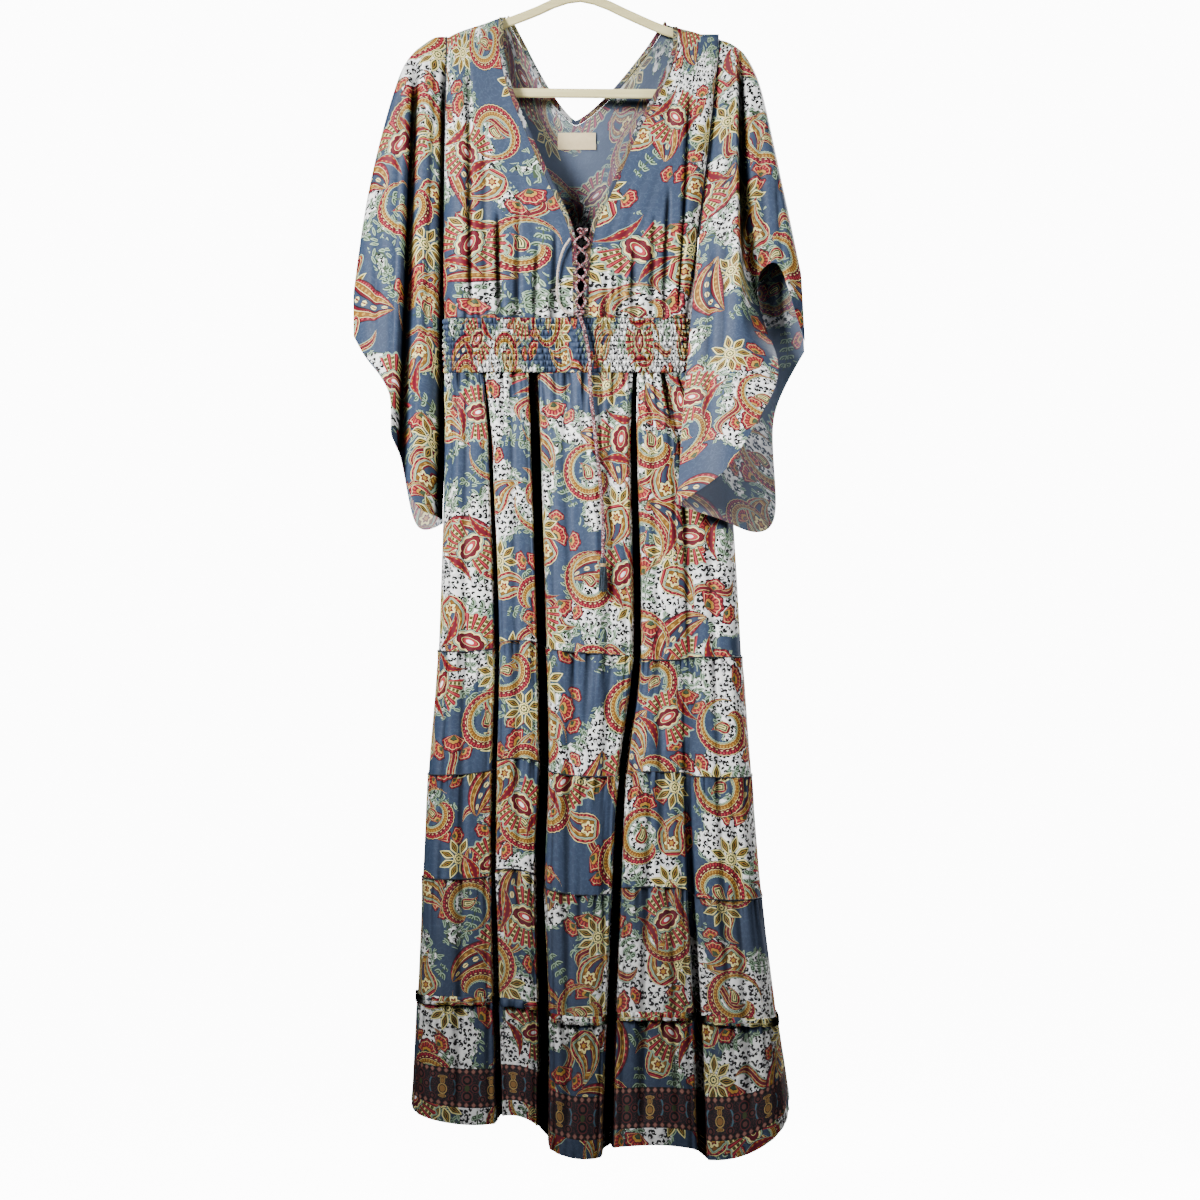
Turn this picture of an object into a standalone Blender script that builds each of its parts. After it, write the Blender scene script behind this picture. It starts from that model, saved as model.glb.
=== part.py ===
"""Tiered maxi dress with a smocked waist, hanging on a plain clothes hanger.

Metres, +Z up, front towards -Y. The origin is the point inside the top of the hanger's hook where a rail
carries it. Every piece of cloth is a wall between an outer grid of points and an inner one.
"""
from collections import namedtuple
from math import cos, pi, sin, tau

import bmesh
import bpy
import numpy as np
from mathutils import Vector

# ---- driving dimensions ----
WALL = 0.0015              # cloth with its seam allowances
SEAM = 0.0003              # gap between two pieces at a seam
SMOCK_TOP = -0.504
SMOCK_BOTTOM = -0.5752
SMOCK_ROWS = 9             # rows of elastic
SMOCK_RELIEF = 0.0022
SMOCK_COLUMNS = (("front", -1, 57), ("back", 1, 41))
WAIST_DEPTH = 0.041        # half depth of the smocked waist
WAIST_LEFT = (-0.178, -0.177)    # the sides at its top and bottom
WAIST_RIGHT = (0.1445, 0.1435)
SLIT_LEFT = -0.024         # unsmocked strip beside the front lacing
SLIT_RIGHT = -0.003
BINDING_WIDTH = 0.006
BINDING_DEPTH = 0.0026
HEADER_HEIGHT = 0.014      # rolled header above the hem tier
HEADER_DEPTH = 0.0050
HEADER_STANDOFF = 0.0018
SLAT_HEIGHT = 0.012        # hanger frame section
SLAT_DEPTH = 0.006
WIRE_RADIUS = 0.0017
HOOK_RADIUS = 0.022
LACE_RADIUS = 0.0021
TAIL_RADIUS = 0.0024
TASSEL_RADIUS = 0.0046
TASSEL_STRANDS = 12
TASSEL_LENGTH = 0.034
LABEL_WIDTH = 0.050
LABEL_HEIGHT = 0.022
LABEL_THICKNESS = 0.001

# ---- skirt: one entry for each level, waist first ----
LEVEL_Z = np.array([-0.5755, -0.660, -0.940, -1.096, -1.2415, -1.403, -1.577])
SIDE_LEFT = np.array([-0.177, -0.177, -0.185, -0.198, -0.205, -0.212, -0.220])
SIDE_RIGHT = np.array([0.1425, 0.190, 0.211, 0.224, 0.237, 0.257, 0.273])
SEAM_LEVELS = (2, 3, 4, 5, 6)

# A deep fold: its x at each level, its mouth and the depth of its floor at the waist and at the hem.
Fold = namedtuple("Fold", "name x mouth_waist mouth_hem floor_waist floor_hem")
FRONT_FOLDS = (
    Fold("a", (-0.125, -0.117, -0.108, -0.111, -0.112, -0.108, -0.104), 0.008, 0.015, 0.029, 0.014),
    Fold("b", (-0.061, -0.058, -0.050, -0.047, -0.052, -0.047, -0.048), 0.012, 0.022, 0.028, 0.012),
    Fold("c", (0.071, 0.070, 0.074, 0.055, 0.047, 0.040, 0.035), 0.009, 0.018, 0.029, 0.014),
    Fold("d", (0.108, 0.124, 0.135, 0.138, 0.144, 0.152, 0.158), 0.008, 0.013, 0.030, 0.045),
)
BACK_FOLDS = (
    Fold("e", (-0.110, -0.108, -0.112, -0.116, -0.118, -0.120, -0.122), 0.009, 0.018, 0.027, 0.014),
    Fold("f", (-0.030, -0.024, -0.018, -0.014, -0.010, -0.008, -0.004), 0.011, 0.020, 0.027, 0.012),
    Fold("g", (0.048, 0.060, 0.072, 0.078, 0.082, 0.090, 0.098), 0.009, 0.018, 0.028, 0.014),
)

# A panel between two folds: how far it stands out at the waist, hip and hem, its gathers at the waist and
# at each lower seam, and how far its four seams and its hem lie above the level.
Panel = namedtuple("Panel", "name waist hip hem gathers puckers rise")
FRONT_PANELS = (
    Panel("p1", 0.037, 0.046, 0.074, 3, 2, (0.002, -0.001, 0.009, 0.014, 0.029)),
    Panel("p2", 0.038, 0.045, 0.070, 3, 2, (0.017, 0.020, 0.022, 0.010, 0.038)),
    Panel("p3", 0.041, 0.054, 0.098, 6, 4, (0.000, -0.003, -0.010, -0.010, -0.013)),
    Panel("p4", 0.040, 0.049, 0.088, 3, 3, (-0.009, 0.003, 0.000, -0.005, 0.003)),
    Panel("p5", 0.037, 0.045, 0.080, 2, 2, (-0.005, -0.005, -0.018, -0.013, -0.009)),
)
BACK_PANELS = (
    Panel("b1", 0.036, 0.044, 0.072, 3, 2, (0.002, 0.000, 0.006, 0.008, 0.034)),
    Panel("b2", 0.039, 0.050, 0.086, 5, 3, (0.000, 0.002, 0.000, 0.004, 0.022)),
    Panel("b3", 0.039, 0.050, 0.088, 4, 3, (0.002, -0.003, -0.002, -0.004, 0.010)),
    Panel("b4", 0.036, 0.044, 0.074, 3, 2, (0.000, 0.002, -0.006, -0.006, 0.004)),
)
SIDE_RISE_LEFT = (0.003, -0.002, 0.010, 0.016, 0.056)
SIDE_RISE_RIGHT = (-0.006, -0.004, -0.014, -0.016, 0.066)
GATHER_DEPTH = 0.0036
GATHER_FADE = 0.075
PUCKER_DEPTH = 0.0026
PUCKER_FADE = 0.040

# ---- bodice: one row for each level, shoulder first ----
Row = namedtuple("Row", "z side_x side_y edge_x full")
BODICE_LEFT = (
    Row(-0.150, -0.1740, 0.0080, -0.1000, 0.014),
    Row(-0.200, -0.1750, 0.0120, -0.0895, 0.024),
    Row(-0.250, -0.1760, 0.0130, -0.0700, 0.031),
    Row(-0.325, -0.1775, 0.0120, -0.0370, 0.037),
    Row(-0.397, -0.1789, 0.0060, -0.0085, 0.040),
    Row(-0.440, -0.1798, 0.0020, -0.0060, 0.041),
    Row(-0.503, -0.1785, 0.0002, -0.0050, 0.041),
)
BODICE_RIGHT = (
    Row(-0.150, 0.1815, 0.0080, 0.1215, 0.014),
    Row(-0.200, 0.1761, 0.0120, 0.1030, 0.024),
    Row(-0.250, 0.1706, 0.0130, 0.0760, 0.031),
    Row(-0.325, 0.1625, 0.0120, 0.0430, 0.037),
    Row(-0.397, 0.1547, 0.0060, 0.0150, 0.040),
    Row(-0.440, 0.1515, 0.0020, 0.0110, 0.041),
    Row(-0.503, 0.1450, 0.0002, 0.0090, 0.041),
)
NECK_SET = 0.0035          # the neckline's shoulder end lies this far inside the first row
BACK_V_BOTTOM = -0.248
BACK_NECK_CURVE = 1.4
BACK_NECK = (-0.0970, 0.1130)    # where the back neckline meets the shoulders
BACK_FULL = 0.88           # depth of the back as a share of the front's
BODICE_GATHER = 0.0027
BODICE_FADE = 0.060
BODICE_PARTS = (0, 0.006, 0.025, 0.12, 0.22, 0.34, 0.46, 0.58, 0.70, 0.82, 0.92, 1)
BACK_PARTS = (0, 0.006, 0.025, 0.10, 0.22, 0.36, 0.50, 0.64, 0.78, 0.90, 1)
BACK_SHARES = np.array([0, 0.03, 0.07, 0.12, 0.16, 0.195, 0.2169, 0.255, 0.31, 0.37, 0.43, 0.47, 0.4895,
                        0.52, 0.58, 0.64, 0.70, 0.765, 0.8068, 0.835, 0.87, 0.91, 0.95, 0.98, 1.0])
NECK_BEHIND_ARM = 0.0062   # the back neckline passes behind the hanger at this depth
LABEL_PLACE = (-0.0045, -0.268)
LABEL_STANDOFF = 0.0008

# ---- sleeves: one row for each line that runs from the overarm ridge to the hem ----
Line = namedtuple(
    "Line", "top_x top_z hem_x hem_z flare front_mid front_hem back_x back_z back_mid back_hem")
SLEEVE_LEFT = (
    Line(-0.1748, -0.1310, -0.1820, -0.7657, 1.0, -0.012, -0.002, -0.1820, -0.7710, 0.012, 0.002),
    Line(-0.1840, -0.1300, -0.1937, -0.7580, 1.0, -0.028, -0.034, -0.1950, -0.7790, 0.020, 0.016),
    Line(-0.1930, -0.1320, -0.2080, -0.7560, 1.0, -0.035, -0.044, -0.2150, -0.7810, 0.024, 0.022),
    Line(-0.2010, -0.1370, -0.2250, -0.7306, 1.0, -0.038, -0.046, -0.2250, -0.7450, 0.026, 0.024),
    Line(-0.2060, -0.1420, -0.2327, -0.6825, 1.0, -0.004, -0.006, -0.2340, -0.6890, 0.028, 0.026),
    Line(-0.2140, -0.1470, -0.2410, -0.6640, 1.0, -0.030, -0.038, -0.2410, -0.6700, 0.028, 0.026),
    Line(-0.2310, -0.1670, -0.2480, -0.6552, 1.0, -0.032, -0.042, -0.2480, -0.6600, 0.026, 0.028),
    Line(-0.2420, -0.1960, -0.2440, -0.6050, 1.0, -0.030, -0.038, -0.2450, -0.6080, 0.024, 0.026),
    Line(-0.2580, -0.2500, -0.2630, -0.5700, 1.0, -0.028, -0.032, -0.2630, -0.5740, 0.022, 0.022),
    Line(-0.2815, -0.3480, -0.2834, -0.5500, 1.0, -0.022, -0.024, -0.2834, -0.5530, 0.018, 0.018),
    Line(-0.2965, -0.4650, -0.2960, -0.5265, 1.0, -0.009, -0.009, -0.2960, -0.5265, 0.009, 0.009),
)
SLEEVE_RIGHT = (
    Line(0.1824, -0.1350, 0.1250, -0.7475, 0.72, -0.012, -0.0885, 0.1250, -0.7475, 0.012, -0.0840),
    Line(0.1900, -0.1365, 0.1625, -0.7240, 1.5, -0.030, -0.112, 0.1560, -0.7590, 0.018, -0.076),
    Line(0.1960, -0.1390, 0.1935, -0.7020, 2.5, -0.034, -0.116, 0.1820, -0.7657, 0.022, -0.068),
    Line(0.2010, -0.1420, 0.2300, -0.6370, 5.0, -0.036, -0.100, 0.2106, -0.7800, 0.024, -0.045),
    Line(0.2055, -0.1450, 0.2685, -0.5745, 9.0, -0.038, -0.075, 0.2360, -0.7860, 0.026, -0.020),
    Line(0.2090, -0.1480, 0.2380, -0.5100, 9.0, -0.006, -0.004, 0.2590, -0.7700, 0.028, 0.004),
    Line(0.2150, -0.1520, 0.2260, -0.4550, 1.0, -0.028, -0.036, 0.2540, -0.7020, 0.028, 0.012),
    Line(0.2350, -0.1850, 0.2420, -0.4316, 1.0, -0.030, -0.040, 0.2505, -0.6435, 0.026, 0.018),
    Line(0.2485, -0.2500, 0.2620, -0.4277, 1.0, -0.028, -0.036, 0.2600, -0.6084, 0.024, 0.020),
    Line(0.2670, -0.3340, 0.2760, -0.4810, 1.0, -0.022, -0.026, 0.2800, -0.5700, 0.020, 0.018),
    Line(0.2890, -0.4400, 0.2940, -0.5330, 1.0, -0.009, -0.010, 0.2940, -0.5460, 0.009, 0.010),
)
ARMHOLE_GAP = 0.0007
RIDGE_DROP = 0.008         # the cloth turns over the arm within this height
RIDGE_HALF = 0.0075        # half the ridge's thickness, which clears the hanger's tips
UNDERARM = 0.44            # share of the inner line that is sewn to the bodice

# ---- hanger: top edge of the arms ----
ARM_X = np.array([-0.196, -0.173, -0.117, -0.0585, -0.022, 0.0, 0.0286, 0.059, 0.125, 0.156, 0.198])
ARM_Z = np.array([
    -0.153, -0.1375, -0.117, -0.095, -0.0795, -0.076, -0.083, -0.097, -0.1245, -0.133, -0.1575,
])
ARM_CLEAR = 0.0010
BAR_Z = -0.2080            # middle of the lower bar
BAR_TILT = 0.008
HOOK_FOOT = -0.0762        # the hook's wire starts just above the arms' peak

# ---- lacing: points of each route, chosen by hand ----
KNOT_TOP = (0.0035, -0.0475, -0.392)
KNOT_LOW = (-0.0010, -0.0500, -0.4990)
KNOT_SIZE = (0.0080, 0.0048, 0.0058)
KNOT_PINCH = 0.28          # share by which a knot is drawn in at its middle
LACE_Y = -0.0443
LACE_HOLD = 0.002          # the laces reach this far over each edge
LACE_CROSSES = 5
LOOP_ROUTE = (
    (-0.0125, -0.047, -0.4015), (-0.0215, -0.047, -0.416), (-0.0275, -0.047, -0.436),
    (-0.0295, -0.047, -0.458), (-0.0285, -0.047, -0.480), (-0.020, -0.049, -0.496),
    (-0.010, -0.051, -0.4995),
)
TAIL_ROUTE = (
    (0.0005, -0.0515, -0.5043), (0.0055, -0.0525, -0.520), (0.0095, -0.0525, -0.540),
    (0.013, -0.0530, -0.562), (0.013, -0.056, -0.590), (0.019, -0.062, -0.650),
    (0.026, -0.066, -0.715), (0.030, -0.070, -0.770), (0.030, -0.073, -0.8155),
)

COLOURS = {
    "print": ((0.20, 0.24, 0.31), 0.62, 0.0),
    "trim": ((0.12, 0.14, 0.18), 0.70, 0.0),
    "cord": ((0.42, 0.30, 0.27), 0.75, 0.0),
    "tassel": ((0.21, 0.27, 0.33), 0.80, 0.0),
    "label": ((0.80, 0.74, 0.62), 0.80, 0.0),
    "slat": ((0.86, 0.80, 0.58), 0.45, 0.0),
    "wire": ((0.70, 0.70, 0.70), 0.28, 1.0),
}


# ---- tools ----
def clear_scene():
    for thing in list(bpy.data.objects):
        bpy.data.objects.remove(thing, do_unlink=True)


def material(name, look):
    """Give each object its own Principled material."""
    colour, roughness, metallic = COLOURS[look]
    made = bpy.data.materials.new(name)
    made.use_nodes = True
    shader = made.node_tree.nodes["Principled BSDF"]
    shader.inputs["Base Color"].default_value = (*colour, 1.0)
    shader.inputs["Roughness"].default_value = roughness
    shader.inputs["Metallic"].default_value = metallic
    return made


def add_object(name, bm, look, smooth=True):
    bmesh.ops.recalc_face_normals(bm, faces=bm.faces)
    if bm.calc_volume(signed=True) < 0:
        bmesh.ops.reverse_faces(bm, faces=bm.faces)
    mesh = bpy.data.meshes.new(name)
    bm.to_mesh(mesh)
    bm.free()
    if smooth:
        mesh.shade_smooth()
        mesh.set_sharp_from_angle(angle=0.9)
    thing = bpy.data.objects.new(name, mesh)
    thing.data.materials.append(material(name, look))
    bpy.context.collection.objects.link(thing)
    return thing


def spline_weights(count, where):
    """Weights of `count` control points of a uniform cubic B-spline that passes through its two ends."""
    where = np.clip(np.asarray(where, float), 0.0, count - 1.0)
    first = np.minimum(where.astype(int), count - 2)
    part = where - first
    basis = np.stack([
        (1 - part) ** 3,
        3 * part ** 3 - 6 * part ** 2 + 4,
        -3 * part ** 3 + 3 * part ** 2 + 3 * part + 1,
        part ** 3,
    ], axis=1) / 6.0
    weights = np.zeros((len(where), count + 2))
    rows = np.arange(len(where))
    for step in range(4):
        weights[rows, first + step] += basis[:, step]
    inner = weights[:, 1:-1].copy()
    inner[:, 0] += 2 * weights[:, 0]
    inner[:, 1] -= weights[:, 0]
    inner[:, -1] += 2 * weights[:, -1]
    inner[:, -2] -= weights[:, -1]
    return inner


def along(stops, values, where):
    """Smooth curve through `values` at `stops`, read at `where`."""
    stops = np.asarray(stops, float)
    values = np.asarray(values, float)
    slopes = np.gradient(values, stops)
    place = np.clip(np.searchsorted(stops, where, side="right") - 1, 0, len(stops) - 2)
    width = stops[place + 1] - stops[place]
    part = np.clip((where - stops[place]) / width, 0.0, 1.0)
    start = (1 + 2 * part) * (1 - part) ** 2
    lean_out = part * (1 - part) ** 2
    end = part ** 2 * (3 - 2 * part)
    lean_in = part ** 2 * (part - 1)
    return (start * values[place] + lean_out * width * slopes[place]
            + end * values[place + 1] + lean_in * width * slopes[place + 1])


def smooth_step(value):
    value = np.clip(value, 0.0, 1.0)
    return value * value * (3 - 2 * value)


def plan_normals(grid, outward):
    """Level normals of a grid whose columns run left to right; outward is -1 in front, 1 behind."""
    run = np.gradient(grid[:, :, :2], axis=1)
    normals = np.stack([-run[:, :, 1], run[:, :, 0], np.zeros(run.shape[:2])], axis=2) * outward
    return normals / np.maximum(np.linalg.norm(normals, axis=2, keepdims=True), 1e-9)


def close_wall(name, outer, inner, look="print"):
    """One closed solid between an outer and an inner grid; both skins are split along the same diagonals."""
    bm = bmesh.new()
    rows, columns = outer.shape[:2]
    skins = []
    for grid in (outer, inner):
        skins.append([[bm.verts.new(point) for point in line] for line in grid])
    for row in range(rows - 1):
        for column in range(columns - 1):
            falling = np.linalg.norm(outer[row, column] - outer[row + 1, column + 1])
            rising = np.linalg.norm(outer[row, column + 1] - outer[row + 1, column])
            for skin in skins:
                corners = (skin[row][column], skin[row][column + 1],
                           skin[row + 1][column + 1], skin[row + 1][column])
                start = 0 if falling < rising else 1
                bm.faces.new((corners[start], corners[start + 1], corners[start + 2]))
                bm.faces.new((corners[start + 2], corners[(start + 3) % 4], corners[start]))
    front, back = skins
    for column in range(columns - 1):
        for row in (0, rows - 1):
            bm.faces.new((front[row][column], front[row][column + 1],
                          back[row][column + 1], back[row][column]))
    for row in range(rows - 1):
        for column in (0, columns - 1):
            bm.faces.new((front[row][column], front[row + 1][column],
                          back[row + 1][column], back[row][column]))
    return add_object(name, bm, look)


def loft(name, rings, look, closed=False):
    """Skin a row of equal rings; the ends are capped unless the row closes on itself."""
    bm = bmesh.new()
    loops = [[bm.verts.new(point) for point in ring] for ring in rings]
    sides = len(loops[0])
    count = len(loops) if closed else len(loops) - 1
    for step in range(count):
        here, there = loops[step], loops[(step + 1) % len(loops)]
        for side in range(sides):
            after = (side + 1) % sides
            bm.faces.new((here[side], here[after], there[after], there[side]))
    if not closed:
        bm.faces.new(loops[0])
        bm.faces.new(loops[-1])
    return add_object(name, bm, look)


def smooth_route(points, steps):
    points = np.asarray(points, float)
    stops = np.arange(len(points))
    where = np.linspace(0, len(points) - 1, steps)
    return np.stack([along(stops, points[:, axis], where) for axis in range(3)], axis=1)


def tube(name, points, radius, look, sides=2):
    """Cord or wire: a bevelled poly curve with filled caps."""
    curve = bpy.data.curves.new(name, "CURVE")
    curve.dimensions = "3D"
    curve.bevel_depth = radius
    curve.bevel_resolution = sides
    curve.use_fill_caps = True
    line = curve.splines.new("POLY")
    line.points.add(len(points) - 1)
    for spot, point in zip(line.points, points):
        spot.co = (*point, 1.0)
    thing = bpy.data.objects.new(name, curve)
    thing.data.materials.append(material(name, look))
    bpy.context.collection.objects.link(thing)
    return thing


# ---- skirt ----
def skirt_stations(folds, panels, level):
    """Control points across one half at a level: x, depth, and the share of each seam's rise."""
    stops = np.arange(len(LEVEL_Z))
    down = level / stops[-1]
    left = along(stops, SIDE_LEFT, level)
    right = along(stops, SIDE_RIGHT, level)
    open_up = smooth_step(level / 1.5)
    centres = [along(stops, fold.x, level) for fold in folds]
    mouths = [fold.mouth_waist + (fold.mouth_hem - fold.mouth_waist) * down for fold in folds]
    floors = [fold.floor_waist + (fold.floor_hem - fold.floor_waist) * open_up for fold in folds]
    stations = []
    for index, panel in enumerate(panels):
        crest = along((0, 1, stops[-1]), (panel.waist, panel.hip, panel.hem), level)
        start = left if index == 0 else centres[index - 1] + mouths[index - 1] / 2
        end = right if index == len(folds) else centres[index] - mouths[index] / 2
        if index == 0:
            stations += [(left, SEAM / 2), (left, 0.45 * crest), (left + 0.006, 0.85 * crest)]
        else:
            stations.append((start, 0.96 * crest))
        for share in (0.25, 0.5, 0.75):
            bulge = 1.0 + 0.06 * (1 - (2 * share - 1) ** 2)
            stations.append((start + (end - start) * share, crest * bulge))
        if index == len(folds):
            stations += [(right - 0.006, 0.85 * crest), (right, 0.45 * crest), (right, SEAM / 2)]
        else:
            stations.append((end, 0.96 * crest))
            half = mouths[index] / 2
            stations += [(centres[index] - half, floors[index]), (centres[index] + half, floors[index])]
    return np.array(stations)


def panel_spans(panels):
    """First and last control index of each panel's flat stretch."""
    return [(2 + 7 * index, 6 + 7 * index) for index in range(len(panels))]


def seam_rise(panels, where):
    """Height of the four seams and the hem above their levels, at each place across (places x 5)."""
    spans = panel_spans(panels)
    stops = [0] + [(first + last) / 2 for first, last in spans] + [spans[-1][1] + 2]
    rises = np.array([SIDE_RISE_LEFT] + [panel.rise for panel in panels] + [SIDE_RISE_RIGHT])
    return np.stack([along(stops, rises[:, seam], where) for seam in range(len(SEAM_LEVELS))], axis=1)


def gather_wave(panels, where, counts):
    """Height of the gathers across: full on the panels, none in the folds."""
    wave = np.zeros(len(where))
    for (first, last), count in zip(panel_spans(panels), counts):
        share = (where - first) / (last - first)
        inside = (share > 0) & (share < 1)
        window = np.minimum(1.0, 6 * share * (1 - share))
        wave += np.where(inside, window * np.sin(tau * count * share - pi / 2), 0.0)
    return wave


def columns_across(panels, counts):
    """Places across one half: two for each gather, three in each fold and the rounded sides."""
    spans = panel_spans(panels)
    places = [0.0, 1.0]
    for index, ((first, last), count) in enumerate(zip(spans, counts)):
        places += list(np.linspace(first, last, 2 * count + 1))
        if index < len(spans) - 1:
            places += [last + 1.1, last + 1.9]
    places += [spans[-1][1] + 1.0, spans[-1][1] + 2.0]
    return np.array(places)


def skirt_grid(folds, panels, where, top, bottom, shares, outward):
    """Outer points of one tier half between two levels."""
    waist = top == 0
    counts = [panel.gathers if waist else panel.puckers for panel in panels]
    depth, fade = (GATHER_DEPTH, GATHER_FADE) if waist else (PUCKER_DEPTH, PUCKER_FADE)
    wave = gather_wave(panels, where, counts)
    rise = seam_rise(panels, where)
    rise_top = np.zeros(len(where)) if waist else rise[:, SEAM_LEVELS.index(top)]
    rise_bottom = rise[:, SEAM_LEVELS.index(bottom)]
    grid = []
    for share in shares:
        level = top + (bottom - top) * share
        stations = skirt_stations(folds, panels, level)
        flat = spline_weights(len(stations), where) @ stations
        high = LEVEL_Z[top] - SEAM / 2 + rise_top
        low = LEVEL_Z[bottom] + SEAM / 2 + rise_bottom
        if waist and share <= 0.5:
            z = high + (LEVEL_Z[1] - high) * share / 0.5
        elif waist:
            z = LEVEL_Z[1] + (low - LEVEL_Z[1]) * (share - 0.5) / 0.5
        else:
            z = high + (low - high) * share
        fallen = (LEVEL_Z[top] - LEVEL_Z[bottom]) * share
        relief = depth * wave * np.exp(-fallen / fade)
        grid.append(np.stack([flat[:, 0], outward * (flat[:, 1] + relief), z + 0 * flat[:, 0]], axis=1))
    return np.array(grid)


def inset_wall(name, outer, outward, look="print"):
    """Close a wall whose inner points lie WALL further in, level with the outer ones."""
    normals = plan_normals(outer, outward)
    normals[:, 0] = (-1, 0, 0)
    normals[:, -1] = (1, 0, 0)
    return close_wall(name, outer, outer - WALL * normals, look)


def skirt():
    halves = (("front", FRONT_FOLDS, FRONT_PANELS, -1), ("back", BACK_FOLDS, BACK_PANELS, 1))
    levels = (0, *SEAM_LEVELS)
    for side, folds, panels, outward in halves:
        for tier in range(len(SEAM_LEVELS)):
            top, bottom = levels[tier], levels[tier + 1]
            counts = [panel.puckers if tier else panel.gathers for panel in panels]
            where = columns_across(panels, counts)
            shares = (0, 0.25, 0.55, 1) if tier else (0, 0.16, 0.34, 0.6, 1)
            outer = skirt_grid(folds, panels, where, top, bottom, shares, outward)
            inset_wall(f"tier_{tier + 1}_{side}", outer, outward)


def headers():
    """Rolled header on the seam above the hem tier, thinner inside the folds."""
    level = SEAM_LEVELS[3]
    profile = [(0.0, 0.42), (0.85, 0.46), (1.0, 0.0), (0.8, -0.44), (0.0, -0.42)]
    for side, folds, panels, outward in (
            ("front", FRONT_FOLDS, FRONT_PANELS, -1), ("back", BACK_FOLDS, BACK_PANELS, 1)):
        puckers = [panel.puckers for panel in panels]
        where = columns_across(panels, puckers)[1:-1]
        stations = skirt_stations(folds, panels, level)
        flat = spline_weights(len(stations), where) @ stations
        relief = PUCKER_DEPTH * np.maximum(0, gather_wave(panels, where, puckers))
        rise = seam_rise(panels, where)[:, 3]
        middle = np.stack([flat[:, 0], outward * (flat[:, 1] + relief), LEVEL_Z[level] + rise], axis=1)
        normals = plan_normals(middle[None], outward)[0]
        full = np.full(len(where), 0.26)
        for first, last in panel_spans(panels):
            share = np.clip((where - first) / (last - first), 0, 1)
            full += 0.74 * smooth_step(4.5 * share * (1 - share))
        rings = []
        for point, normal, fullness in zip(middle, normals, full):
            depths = [HEADER_STANDOFF + HEADER_DEPTH * out * fullness for out, _ in profile]
            rings.append([
                point + normal * depth + (0, 0, HEADER_HEIGHT * up)
                for depth, (_, up) in zip(depths, profile)
            ])
        loft(f"header_{side}", rings, "print")


# ---- smocked waistband ----
def waist_section(full, columns, left, right):
    """Plan of one half at the waist: rounded at both sides, flat between them."""
    stations = np.array([
        (left, SEAM / 2), (left, 0.5 * full), (left + 0.008, 0.92 * full),
        *[(left + (right - left) * share, full) for share in (0.2, 0.4, 0.6, 0.8)],
        (right - 0.008, 0.92 * full), (right, 0.5 * full), (right, SEAM / 2),
    ])
    return spline_weights(len(stations), np.linspace(0, len(stations) - 1, columns)) @ stations


def waistband():
    for side, outward, columns in SMOCK_COLUMNS:
        outer, inner = [], []
        heights = np.linspace(SMOCK_TOP, SMOCK_BOTTOM, SMOCK_ROWS + 1)
        for row, height in enumerate(heights):
            down = row / SMOCK_ROWS
            left, right = (top + (bottom - top) * down for top, bottom in (WAIST_LEFT, WAIST_RIGHT))
            flat = waist_section(WAIST_DEPTH, columns, left, right)
            puff = (np.arange(columns) + row) % 2
            if side == "front":
                puff = np.where((flat[:, 0] > SLIT_LEFT) & (flat[:, 0] < SLIT_RIGHT), 0, puff)
            edge = np.minimum(1.0, np.minimum(np.arange(columns), np.arange(columns)[::-1]) / 5)
            run = np.gradient(flat, axis=0)
            normals = np.stack([-run[:, 1], run[:, 0]], axis=1)
            normals /= np.linalg.norm(normals, axis=1, keepdims=True)
            normals[0], normals[-1] = (-1, 0), (1, 0)
            raised = flat + normals * (SMOCK_RELIEF * puff * edge)[:, None]
            plain = flat - normals * WALL
            level = np.full(columns, height)
            outer.append(np.stack([raised[:, 0], outward * raised[:, 1], level], axis=1))
            inner.append(np.stack([plain[:, 0], outward * plain[:, 1], level], axis=1))
        smocked_wall(f"waistband_{side}", np.array(outer), np.array([inner[0], inner[-1]]))


def smocked_wall(name, outer, inner):
    """Closed wall with a raised outer grid over a plain inside of two rows."""
    bm = bmesh.new()
    rows, columns = outer.shape[:2]
    front = [[bm.verts.new(point) for point in line] for line in outer]
    back = [[bm.verts.new(point) for point in line] for line in inner]
    for row in range(rows - 1):
        for column in range(columns - 1):
            bm.faces.new((front[row][column], front[row][column + 1],
                          front[row + 1][column + 1], front[row + 1][column]))
    for column in range(columns - 1):
        bm.faces.new((back[0][column], back[0][column + 1], back[1][column + 1], back[1][column]))
        bm.faces.new((front[0][column], front[0][column + 1], back[0][column + 1], back[0][column]))
        bm.faces.new((front[-1][column], front[-1][column + 1], back[1][column + 1], back[1][column]))
    for column in (0, columns - 1):
        bm.faces.new([front[row][column] for row in range(rows)] + [back[1][column], back[0][column]])
    return add_object(name, bm, "print")


# ---- bodice ----
def arm_top(x):
    return along(ARM_X, ARM_Z, x)


def shoulder_z(x):
    """The cloth's outer face over the hanger's arm."""
    return arm_top(np.clip(x, ARM_X[1], ARM_X[-2])) + WALL + ARM_CLEAR


def read_rows(rows, field, z):
    """Value of a field of the bodice's rows at height z."""
    levels = [-row.z for row in rows]
    return along(levels, [getattr(row, field) for row in rows], np.clip(-z, levels[0], levels[-1]))


def turn_over_arm(out, drop):
    """Bring a depth back to the shoulder seam over the top of the arm."""
    turned = np.clip(drop / 0.010, 0, 1)
    return SEAM / 2 + (out - SEAM / 2) * np.sqrt(turned * (2 - turned))


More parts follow.
